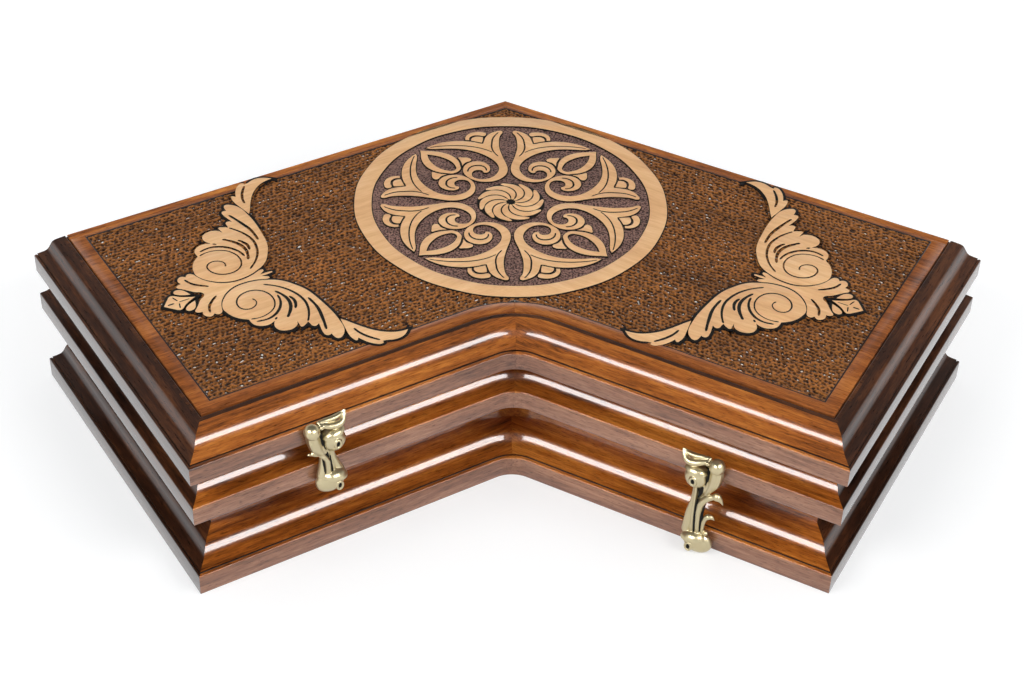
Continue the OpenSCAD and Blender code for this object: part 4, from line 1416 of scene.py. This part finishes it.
@dataclass
class ScrollSprays:
    """Acanthus spray on each arm, alike on both sides of its axis."""

    axis: float = 86.6
    left_shift: float = 0.4
    right_shift: float = 1.6
    outline: float = 1.6
    sunk: float = 0.16
    lift: float = 0.24
    bold: float = 1.3
    line_width: float = 1.6
    leaf: tuple[Point, ...] = (
        (205.5, 6.4, 1), (208, 5.2), (213, 3.3), (220, 2.4), (225, 2.9), (230, 5), (234.5, 8.6),
        (237.8, 13), (239.3, 17.5), (239, 20.5), (237.8, 24.7), (235.2, 28.9), (231.3, 32.2, 1),
        (231.3, 35.5), (230.5, 38), (228, 40.3), (225, 41.2), (222, 40.8), (220, 39.8, 1), (221.8, 43),
        (222, 46), (220.6, 48.8), (217.5, 50.4), (214, 50.4), (211, 48.6), (209.8, 46.2, 1), (210, 49),
        (209.9, 51.2), (207, 50.5), (205, 49, 1), (204.7, 50.5), (204.3, 53.5), (203, 54.3),
        (200.6, 53.2, 1), (201.5, 57), (202.2, 61), (201.8, 64), (200.5, 64.7), (198.8, 64.3, 1),
        (198.8, 66.5), (198, 69), (196.5, 69.6), (194, 68.2), (191.8, 65.5), (190.3, 61), (189.9, 57),
        (189.6, 52), (189.7, 46), (190.2, 40), (190.9, 34), (191.8, 28), (193.5, 22), (196.3, 16.5),
        (199.5, 11.5), (203, 8))
    tail: tuple[Point, ...] = (
        (188.9, 55.2, 1), (189.8, 60), (190.7, 65), (191.4, 70), (191, 74), (190, 75.8), (188.2, 74.2, 1),
        (187.3, 76.5), (185.5, 80), (183, 83), (180.3, 84.7), (178.5, 84.2), (178.6, 83, 1), (176.5, 83.3),
        (173, 84.7), (169, 85), (165.5, 83.8), (162, 80.8, 1), (165.5, 80.4), (170, 79), (174.5, 76),
        (178.5, 72), (182, 67), (185, 61.8), (187.3, 57.6))
    body: tuple[Point, ...] = (
        (201.6, 0), (204, 0.8), (208.4, 0.9, 1), (205.2, 4.1), (206.6, 4.6), (211, 3.0), (214, 2.1),
        (220, 1.4), (225, 1.9), (230, 4), (234.5, 7.6), (237.8, 12), (239.6, 16.4), (240.8, 19.3),
        (242.5, 20.2), (244, 19.6), (244.8, 18.4, 1), (247, 19.9), (249.3, 18.8), (250.3, 16.5),
        (249.8, 14, 1), (251, 13.9), (252.8, 12.8), (252.9, 11.5), (251.3, 9.8), (248.5, 6.5),
        (246, 3.6), (243, 1.4))
    petal: tuple[Point, ...] = (
        (249, 2.9, 1), (250, 6), (252, 9.2), (253.8, 10), (255.8, 9.6), (256.5, 7.8), (255, 5.8),
        (251.5, 3.8))
    bud: tuple[Point, ...] = ((247.5, 0, 1), (251, 1.6), (255, 4), (258.5, 6.8), (259.8, 6.6), (262, 4.4),
                              (265.8, 0, 1))
    volute: tuple[Point, ...] = (
        (230, 32.4), (226, 33.3), (221, 32.8), (216, 30.2), (213, 26), (211.8, 20.5), (212.8, 15.5),
        (215.5, 11.8), (219, 10), (223, 9.8), (227, 11.3), (230, 14.5), (231.2, 18.5), (230.3, 22),
        (227.5, 23.9), (224.5, 23.7), (222, 21.9), (221, 19.3), (221.8, 16.7))
    veins: tuple[tuple[float, tuple[Point, ...]], ...] = (
        (1.1, ((211, 8.2), (206.5, 12), (202.5, 17), (200, 22), (198.6, 27), (198.2, 32), (199, 37),
        (200.8, 42), (203, 46), (204.6, 48.4))), (1.5, ((208.2, 16.5), (206.3, 21), (205.4, 26),
        (206.2, 31), (208.2, 35), (210.5, 38), (212.5, 40.3))), (1.3, ((203.6, 24.3), (202.8, 28),
        (203.5, 31.8), (205.4, 35.3))), (1.2, ((208.6, 20.3), (209.3, 25), (211.3, 29.3), (214.5, 33),
        (218.5, 35.6), (223, 36.6), (228.4, 35.6))), (1.0, ((217.5, 37.5), (219.1, 39))),
        (1.4, ((195.3, 30.5), (194.8, 38), (195.2, 43), (196.3, 48), (197.5, 53), (199.4, 59.5))))
    tail_vein: tuple[Point, ...] = ((186.5, 66), (185.8, 70), (184, 74.5), (181.5, 78.5), (179.2, 81.4))
    body_vein: tuple[Point, ...] = ((237.5, 4.8), (241.5, 8), (244.8, 11.8), (246.4, 16.5))
    flick: tuple[Point, ...] = ((167, 82.4), (163.4, 80.8), (161, 78.9), (160, 77.2))
    bud_veins: tuple[tuple[float, tuple[Point, ...]], ...] = (
        (0.5, ((251, 0), (254, 0), (257, 0))), (1.0, ((259.8, 0), (261.6, 0), (263.5, 0))),
        (0.7, ((257.4, 1.2), (258, 3.2), (258.6, 5.2))))

    def build(self) -> None:
        """Builds the spray of each arm."""
        for arm in Arm:
            self.spray(arm)

    def spray(self, arm: Arm) -> None:
        """Builds one spray."""
        bm = bmesh.new()
        shift = self.right_shift if arm is Arm.RIGHT else self.left_shift

        def whole(along: float, off: float) -> tuple[float, float]:
            return arm.plan(along + shift, self.axis + off)

        for side in (1, -1):
            def half(along: float, off: float, side: int = side) -> tuple[float, float]:
                return whole(along, side * off)

            strokes = [stroke(line, width * self.bold) for width, line in self.veins]
            strokes.append(stroke(self.volute, 0.9, 0.45))
            self.inlay(bm, [list(self.leaf), *strokes], half)
            self.inlay(bm, [list(self.tail), stroke(self.tail_vein, 1.5)], half)
            self.inlay(bm, [list(self.petal)], half)
            top = LID + self.lift - self.sunk
            add_plate(bm, [stroke(self.flick, self.line_width)], half, BED, top, BURNT, LINE_RIM)
        body_veins = [stroke(self.body_vein, 1.5), half_turned(stroke(self.body_vein, 1.5))]
        self.inlay(bm, [[*self.body, *half_turned(self.body[1:])], *body_veins], whole)
        bud_veins = [stroke(line, width) for width, line in self.bud_veins]
        bud_veins.append(half_turned(bud_veins[-1]))
        self.inlay(bm, [[*self.bud, *half_turned(self.bud[1:-1])], *bud_veins], whole)
        close_up(bm)
        split_by_arm(bm)
        add_piece(bm, f"spray_{arm.word}", ORNAMENT_WOODS, "upper_leaf")

    def inlay(self, bm: bmesh.types.BMesh, loops: list[list[Point]], place: Place) -> None:
        """Adds one raised plate of the spray with its burnt line."""
        inlay(bm, loops, place, self.outline, self.sunk, lift=self.lift)


def swung(point: Point, middle: Point, turn: float, shift: Point) -> Point:
    """Place of a latch's point after a part of it is turned and moved.

    Args:
        point: The point, with along and up first.
        middle: The middle of the turn.
        turn: The turn in degrees.
        shift: The move.

    Returns:
        The new point, with its other values kept.
    """
    cos, sin = math.cos(math.radians(turn)), math.sin(math.radians(turn))
    along, up = point[0] - middle[0], point[1] - middle[1]
    new_along = middle[0] + shift[0] + along * cos - up * sin
    new_up = middle[1] + shift[1] + along * sin + up * cos
    return (new_along, new_up, *point[2:])


@dataclass(frozen=True)
class Strand:
    """Round rod of a casting, as knots of along, up, out and radius in mm."""

    knots: tuple[Point, ...]

    def swung(self, middle: Point, turn: float, shift: Point) -> "Strand":
        """The same rod, turned and moved."""
        return Strand(tuple(swung(knot, middle, turn, shift) for knot in self.knots))


@dataclass(frozen=True)
class Knob:
    """Ball or cap of a casting: centre and half sizes in mm, cut flat below a share of its height."""

    centre: Point
    half: Point
    lean: float = 0.0
    flat: float = -1.0

    def swung(self, middle: Point, turn: float, shift: Point) -> "Knob":
        """The same ball, turned and moved."""
        return replace(self, centre=swung(self.centre, middle, turn, shift), lean=self.lean + turn)


@dataclass(frozen=True)
class Cluster:
    """Part of a casting: its rods, its balls, the places of its eye holes and its channels of painted
    shade.
    """

    rods: tuple[Strand, ...]
    knobs: tuple[Knob, ...]
    eyes: tuple[Point, ...] = ()
    channels: tuple[Strand, ...] = ()

    def swung(self, middle: Point, turn: float, shift: Point) -> "Cluster":
        """The same part, turned and moved."""
        return Cluster(tuple(rod.swung(middle, turn, shift) for rod in self.rods),
                       tuple(knob.swung(middle, turn, shift) for knob in self.knobs),
                       tuple(swung(eye, middle, turn, shift) for eye in self.eyes),
                       tuple(channel.swung(middle, turn, shift) for channel in self.channels))


HEAD_MIDDLE = (-1.1, 5.4)
LATCH_HEAD = Cluster(
    (Strand(((3.6, 9.2, 3.8, 1.3), (0.0, 8.0, 5.6, 1.7), (-3.6, 7.2, 6.4, 2.0), (-7.0, 7.4, 6.2, 1.8),
             (-9.4, 9.4, 5.2, 1.1), (-10.9, 12.0, 4.2, 0.4))),
     Strand(((3.8, 9.9, 2.6, 1.2), (-0.4, 9.9, 3.2, 1.5), (-4.4, 9.6, 3.6, 1.5), (-8.0, 10.2, 3.8, 1.0),
             (-10.6, 11.8, 4.0, 0.4))),
     Strand(((3.6, 9.6, 2.0, 0.9), (-1.2, 9.5, 2.0, 0.8), (-6.0, 9.9, 2.4, 0.7), (-10.6, 12.0, 3.8, 0.4))),
     Strand(((9.2, 6.4, 4.4, 3.6), (9.2, 2.0, 4.6, 3.8), (8.6, -2.4, 4.6, 3.5), (7.0, -7.0, 4.4, 2.6),
             (5.0, -12.0, 4.2, 1.4), (3.6, -15.6, 4.0, 0.7))),
     Strand(((5.6, -3.0, 5.6, 0.8), (4.8, -7.0, 5.4, 0.9), (3.2, -11.4, 5.0, 0.8),
             (1.6, -15.2, 4.6, 0.6))),
     Strand(((3.4, -7.4, 5.2, 0.7), (2.2, -11.0, 4.9, 0.7), (0.8, -14.6, 4.5, 0.5))),
     Strand(((4.6, 6.0, 2.0, 1.2), (4.8, 0.0, 2.0, 1.2), (3.4, -8.0, 2.0, 1.2), (1.6, -15.0, 2.0, 1.2)))),
    (Knob((9.2, 9.0, 5.4), (4.3, 4.3, 4.3)), Knob((3.6, 8.6, 5.2), (1.3, 1.3, 1.3)),
     Knob((-1.8, -3.0, 4.9), (6.3, 6.9, 4.1)), Knob((-1.8, 1.3, 5.2), (6.8, 4.0, 4.8), -5.0, 0.15)),
    ((-1.9, -3.4, 8.9),),
    (Strand(((5.0, 5.0, 5.0, 0.9), (5.2, 1.0, 5.2, 1.1), (5.0, -3.0, 5.4, 0.8), (4.4, -5.4, 5.6, 0.5))),))
LATCH_FOOT = Cluster(
    (),
    (Knob((1.0, -0.8, 4.5), (8.2, 6.9, 4.4)), Knob((-1.2, 2.0, 5.9), (7.0, 5.0, 5.2), 8.0, 0.05)),
    ((-2.4, -2.6, 8.9),))
LEFT_STEM = Cluster(
    (Strand(((5.6, -9.0, 3.0, 2.0), (5.0, -15.0, 3.2, 2.2), (5.4, -21.0, 3.4, 2.5),
             (6.2, -26.5, 3.8, 3.0))),
     Strand(((0.6, -8.0, 3.0, 2.0), (0.6, -14.5, 3.2, 2.2), (-1.4, -21.0, 3.4, 2.6),
             (-3.4, -26.5, 3.8, 3.0))),
     Strand(((3.0, -9.0, 2.8, 2.0), (2.6, -18.0, 3.0, 2.2), (1.6, -26.5, 3.4, 2.6))),
     Strand(((9.4, -10.2, 4.4, 0.9), (6.8, -12.0, 5.4, 1.3), (4.6, -14.8, 5.9, 1.5),
             (3.8, -19.6, 6.0, 1.6),
             (3.6, -25.0, 5.8, 1.7))),
     Strand(((1.8, -7.6, 5.4, 0.8), (1.8, -12.6, 5.8, 0.8), (1.4, -18.0, 5.9, 0.9),
             (0.4, -24.0, 5.8, 1.0))),
     Strand(((7.4, -11.6, 4.0, 1.3), (10.0, -10.4, 4.4, 1.3), (12.2, -9.6, 4.2, 1.0),
             (13.8, -9.6, 3.8, 0.5)))),
    (Knob((11.2, -8.8, 5.0), (1.8, 1.2, 1.3)),), (),
    (Strand(((4.8, -8.6, 4.8, 1.0), (4.1, -11.5, 5.1, 1.2), (3.2, -14.4, 5.5, 0.5))),
     Strand(((2.4, -13.0, 6.1, 0.4), (2.3, -17.5, 6.5, 0.6), (1.7, -22.5, 6.6, 0.6),
             (1.4, -25.5, 6.4, 0.5))),
     Strand(((6.2, -13.6, 5.0, 0.6), (5.5, -18.0, 5.2, 0.9), (5.5, -24.0, 5.6, 0.8)))))
RIGHT_STEM = Cluster(
    (Strand(((-1.2, -8.0, 3.0, 2.0), (-1.8, -20.0, 3.2, 2.2), (-3.2, -30.0, 3.6, 2.8),
             (-3.8, -41.0, 4.0, 3.2))),
     Strand(((2.4, -10.0, 2.8, 2.0), (1.8, -20.0, 2.8, 2.0), (1.4, -30.0, 3.0, 2.2),
             (2.6, -41.0, 3.6, 2.8))),
     Strand(((-0.8, -8.6, 5.2, 0.9), (-0.9, -16.0, 5.6, 0.9), (-1.0, -24.0, 5.8, 1.0),
             (-0.9, -32.0, 5.9, 1.1),
             (-0.6, -41.0, 5.8, 1.2))),
     Strand(((9.4, -12.4, 4.8, 1.6), (6.2, -14.4, 5.4, 1.8), (3.6, -18.0, 5.8, 1.9),
             (2.2, -24.0, 5.9, 1.7),
             (2.0, -31.0, 5.9, 1.5), (2.2, -40.0, 5.7, 1.4))),
     Strand(((10.6, -12.2, 4.8, 2.0), (12.4, -13.2, 4.5, 1.5), (13.6, -15.0, 4.2, 0.8),
             (14.2, -16.6, 4.0, 0.3))),
     Strand(((4.6, -41.0, 4.6, 1.3), (4.7, -35.0, 5.0, 1.2), (5.6, -30.2, 5.2, 1.3),
             (7.4, -27.4, 5.0, 1.7),
             (9.2, -27.4, 4.6, 1.2), (10.6, -29.0, 4.2, 0.3)))),
    (Knob((11.0, -11.6, 4.8), (2.4, 1.9, 1.9), -25.0), Knob((6.9, -39.4, 5.0), (1.4, 1.4, 1.4))), (),
    (Strand(((2.8, -8.0, 4.8, 1.2), (2.0, -11.5, 5.0, 1.5), (0.9, -15.6, 5.4, 0.5))),
     Strand(((0.8, -17.0, 6.0, 0.4), (0.5, -24.0, 6.5, 0.6), (0.5, -32.0, 6.6, 0.7),
             (0.8, -40.6, 6.4, 0.6))),
     Strand(((4.9, -19.4, 5.0, 0.5), (4.0, -24.0, 5.3, 0.9), (3.7, -31.0, 5.6, 0.9),
             (3.5, -38.6, 5.6, 0.7)))))


@dataclass
class ScrollLatch:
    """Cast scroll hook: horned head, ball with its sheath, fluted stem and round foot."""

    arm: Arm
    stem: Cluster
    foot: Point
    head_turn: float = 0.0
    head_shift: Point = (0.0, 0.0)
    place: float = 229.5
    face: float = 204.0
    voxel: float = 0.25
    ring: Point = (1.6, 2.4)
    ring_rod: float = 0.8
    # Half sizes of the black ball of painted shade in each eye hole.
    hole: Point = (0.95, 1.75, 0.85)
    pin_radius: float = 1.5
    pin_length: float = 14.0
    pin_middle: float = -2.0
    washer_radius: float = 4.0
    washer: float = 0.6

    @cached_property
    def pivot(self) -> float:
        """Height of the pivot, in mm."""
        low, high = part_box(f"{self.arm.word}_latch_pivot")
        return (low.z + high.z) / 2 / MM

    def spot(self, along: float, up: float, out: float) -> Vector:
        """Place of a point on the latch.

        Args:
            along: Distance from the pivot away from the notch, in mm.
            up: Height over the pivot, in mm.
            out: Distance from the wood, in mm.

        Returns:
            The point in metres.
        """
        return Vector((*self.arm.plan(self.place + along, self.face + out), (self.pivot + up) * MM))

    def rods(self, bm: bmesh.types.BMesh, strands: Iterable[Strand]) -> None:
        """Adds rods that swell and thin along their knots."""
        curve = bpy.data.curves.new("rods", "CURVE")
        curve.dimensions = "3D"
        curve.bevel_depth = MM
        curve.bevel_resolution = 3
        curve.use_fill_caps = True
        curve.resolution_u = 6
        for strand in strands:
            spline = curve.splines.new("BEZIER")
            spline.bezier_points.add(len(strand.knots) - 1)
            for point, (along, up, out, radius) in zip(spline.bezier_points, strand.knots):
                point.co = self.spot(along, up, out)
                point.radius = radius
                point.handle_left_type = "AUTO"
                point.handle_right_type = "AUTO"
            for knot in (strand.knots[0], strand.knots[-1]):
                self.ball(bm, Knob(knot[:3], (knot[3], knot[3], knot[3])))
        shape = bpy.data.objects.new("rods", curve)
        bpy.context.scene.collection.objects.link(shape)
        mesh = bpy.data.meshes.new_from_object(shape.evaluated_get(bpy.context.evaluated_depsgraph_get()))
        bpy.data.objects.remove(shape)
        bpy.data.curves.remove(curve)
        bm.from_mesh(mesh)
        bpy.data.meshes.remove(mesh)

    def ball(self, bm: bmesh.types.BMesh, knob: Knob) -> None:
        """Adds a ball or cap."""
        made = bmesh.ops.create_uvsphere(bm, u_segments=32, v_segments=18, radius=1.0)["verts"]
        cos, sin = math.cos(math.radians(knob.lean)), math.sin(math.radians(knob.lean))
        for vert in made:
            along, out = vert.co.x * knob.half[0], vert.co.z * knob.half[2]
            up = max(vert.co.y, knob.flat) * knob.half[1]
            along, up = along * cos - up * sin, along * sin + up * cos
            vert.co = self.spot(knob.centre[0] + along, knob.centre[1] + up, knob.centre[2] + out)

    def eye(self, centre: Point) -> Strand:
        """Raised oval ring round an eye hole."""
        knots = []
        for step in range(13):
            turn = 2 * math.pi * step / 12
            along, up = self.ring[0] * math.cos(turn), self.ring[1] * math.sin(turn)
            knots.append((centre[0] + along, centre[1] + up, centre[2], self.ring_rod))
        return Strand(tuple(knots))

    def cast(self, bm: bmesh.types.BMesh) -> bmesh.types.BMesh:
        """Melts overlapping rods and balls into one casting.

        Args:
            bm: The overlapping shapes. It is freed.

        Returns:
            The casting's mesh.
        """
        mesh = bpy.data.meshes.new("casting")
        bm.to_mesh(mesh)
        bm.free()
        rough = bpy.data.objects.new("casting", mesh)
        bpy.context.scene.collection.objects.link(rough)
        melt = rough.modifiers.new("melt", "REMESH")
        melt.mode = "VOXEL"
        melt.voxel_size = self.voxel * MM
        polish = rough.modifiers.new("polish", "SMOOTH")
        polish.factor = 0.5
        polish.iterations = 2
        done = bpy.data.meshes.new_from_object(rough.evaluated_get(bpy.context.evaluated_depsgraph_get()))
        bpy.data.objects.remove(rough)
        bpy.data.meshes.remove(mesh)
        casting = bmesh.new()
        casting.from_mesh(done)
        bpy.data.meshes.remove(done)
        return casting

    def build(self) -> None:
        """Builds the hook and its pin, and dresses its catch."""
        parts = (LATCH_HEAD.swung(HEAD_MIDDLE, self.head_turn, self.head_shift), self.stem,
                 LATCH_FOOT.swung((0.0, 0.0), 0.0, self.foot))
        bm = bmesh.new()
        self.rods(bm, [rod for part in parts for rod in (*part.rods, *map(self.eye, part.eyes))])
        for part in parts:
            for knob in part.knobs:
                self.ball(bm, knob)
        casting = self.cast(bm)
        # Painted shade: black rods along the channels and black balls in the eye holes stand in for the
        # shade there.
        dark = bmesh.new()
        self.rods(dark, [channel for part in parts for channel in part.channels])
        for part in parts:
            for eye in part.eyes:
                self.ball(dark, Knob(eye, self.hole))
        for face in dark.faces:
            face.material_index = 1
        hollows = bpy.data.meshes.new("hollows")
        dark.to_mesh(hollows)
        dark.free()
        casting.from_mesh(hollows)
        bpy.data.meshes.remove(hollows)
        bmesh.ops.recalc_face_normals(casting, faces=casting.faces)
        word = self.arm.word
        metals = [CAST_BRASS.material(), PAINTED_SHADE_BLACK.material()]
        add_piece(casting, f"{word}_scroll_hook", metals, f"{word}_latch",
                  [f"{word}_latch_hook"], 180.0)
        self.pin()
        dress(f"{word}_latch_stud", SHEET_BRASS.material(), 0.15)

    def pin(self) -> None:
        """Builds the pivot pin, which ends inside the hook's head."""
        node = f"{self.arm.word}_latch_pivot"
        bm = bmesh.new()
        for radius, length, out in ((self.pin_radius, self.pin_length, self.pin_middle),
                                    (self.washer_radius, self.washer, self.washer / 2)):
            made = bmesh.ops.create_cone(bm, cap_ends=True, segments=32, radius1=radius * MM,
                                         radius2=radius * MM, depth=length * MM)["verts"]
            for vert in made:
                along, up, deep = vert.co / MM
                vert.co = self.spot(along, up, out + deep)
        bmesh.ops.recalc_face_normals(bm, faces=bm.faces)
        body = frame["nodes"][node]["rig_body"]
        add_piece(bm, f"{self.arm.word}_pivot_pin", [SHEET_BRASS.material()], body, [node])


@dataclass
class GamePieces:
    """Checkers in three colours and the dice, stowed between the two upper leaves."""

    colours: tuple[tuple[str, PolishFinish], ...] = (
        ("light", CHECKER_LIGHT), ("dark", CHECKER_DARK), ("red", CHECKER_RED))
    profile: tuple[Point, ...] = (
        (0.0, 0.36), (0.18, 0.36), (0.24, 0.32), (0.3, 0.36), (0.62, 0.36), (0.66, 0.44), (0.7, 0.5),
        (0.82, 0.5), (0.86, 0.46), (0.9, 0.5), (0.96, 0.48), (1.0, 0.4))
    steps: int = 40
    pip: float = 0.095
    pip_step: float = 0.26
    pip_flat: float = 0.25
    pip_sink: float = 0.2
    die_edge: float = 0.1

    def islands(self, node: str) -> list[tuple[Vector, Vector]]:
        """Lowest and highest corners of each separate solid of a node.

        Args:
            node: The node's name.

        Returns:
            A pair of corners for each solid.
        """
        bm = bmesh.new()
        bm.from_mesh(frame["nodes"][node].data)
        bmesh.ops.remove_doubles(bm, verts=bm.verts, dist=MERGE)
        seen: set[int] = set()
        boxes = []
        for start in bm.verts:
            if start.index in seen:
                continue
            group, queue = [], [start]
            seen.add(start.index)
            while queue:
                vert = queue.pop()
                group.append(vert.co.copy())
                for edge in vert.link_edges:
                    other = edge.other_vert(vert)
                    if other.index not in seen:
                        seen.add(other.index)
                        queue.append(other)
            boxes.append((Vector(map(min, *group)), Vector(map(max, *group))))
        bm.free()
        return boxes

    def checkers(self, word: str, finish: PolishFinish) -> None:
        """Turns the fifteen checkers of one colour."""
        node = f"checkers_{word}"
        bm = bmesh.new()
        for low, high in self.islands(node):
            centre, size = (low + high) / 2, high - low
            rows = [*self.profile, *((across, -up) for across, up in reversed(self.profile))]
            spots = [centre + Vector((across * size.x / 2, 0, up * size.z)) for across, up in rows]
            verts = [bm.verts.new(spot) for spot in spots]
            edges = [bm.edges.new(pair) for pair in zip(verts, verts[1:])]
            bmesh.ops.spin(bm, geom=verts + edges, cent=centre, axis=(0, 0, 1), angle=2 * math.pi,
                           steps=self.steps, use_merge=True)
        close_up(bm)
        add_piece(bm, f"turned_{node}", [finish.material()], self.body(node), [node],
                  50.0)

    def body(self, node: str) -> str:
        """Body that a node moves with."""
        return frame["nodes"][node]["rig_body"]

    def dice(self) -> None:
        """Shapes the two dice with sunk pips, opposite faces adding up to seven."""
        spots = {1: ((0, 0),), 2: ((-1, -1), (1, 1)), 3: ((-1, -1), (0, 0), (1, 1)),
                 4: ((-1, -1), (-1, 1), (1, -1), (1, 1)), 5: ((-1, -1), (-1, 1), (0, 0), (1, -1), (1, 1)),
                 6: ((-1, -1), (-1, 0), (-1, 1), (1, -1), (1, 0), (1, 1))}
        sides = {1: (0, 0, 1), 6: (0, 0, -1), 2: (1, 0, 0), 5: (-1, 0, 0), 3: (0, 1, 0), 4: (0, -1, 0)}
        bm = bmesh.new()
        for low, high in self.islands("dice"):
            centre, edge = (low + high) / 2, high.z - low.z
            cube = bmesh.ops.create_cube(bm, size=edge)["verts"]
            bmesh.ops.translate(bm, verts=cube, vec=centre)
            rims = list({rim for vert in cube for rim in vert.link_edges})
            bmesh.ops.bevel(bm, geom=rims, offset=edge * self.die_edge, segments=4, affect="EDGES",
                            profile=0.5, material=-1)
            for count, side in sides.items():
                normal = Vector(side)
                first = normal.orthogonal().normalized()
                second = normal.cross(first)
                squash = Matrix.Scale(self.pip_flat, 3, normal)
                face_middle = centre + normal * edge * (0.5 - self.pip * self.pip_sink)
                for across, up in spots[count]:
                    dot = bmesh.ops.create_uvsphere(bm, u_segments=12, v_segments=6,
                                                    radius=edge * self.pip)["verts"]
                    spot = face_middle + (first * across + second * up) * edge * self.pip_step
                    for vert in dot:
                        vert.co = squash @ vert.co + spot
                    for face in {face for vert in dot for face in vert.link_faces}:
                        face.material_index = 1
        bmesh.ops.recalc_face_normals(bm, faces=bm.faces)
        bones = [DICE_BONE.material(), PIP_BLACK.material()]
        add_piece(bm, "pipped_dice", bones, self.body("dice"), ["dice"])

    def build(self) -> None:
        """Builds all game pieces."""
        for word, finish in self.colours:
            self.checkers(word, finish)
        self.dice()


def main() -> None:
    """Builds the set in order."""
    logging.basicConfig(level=logging.INFO, format="%(name)s %(message)s")
    Medallion().build()
    ScrollSprays().build()
    ScrollLatch(Arm.LEFT, LEFT_STEM, (1.3, -30.2), -8.0, (2.2, -1.4)).build()
    ScrollLatch(Arm.RIGHT, RIGHT_STEM, (1.8, -46.6)).build()
    CarvedGround().build()
    MouldedFrames().build()
    PlayingFields().build()
    FoldHinges().build()
    GamePieces().build()
    Studio().build()


if __name__ == "__main__":
    main()
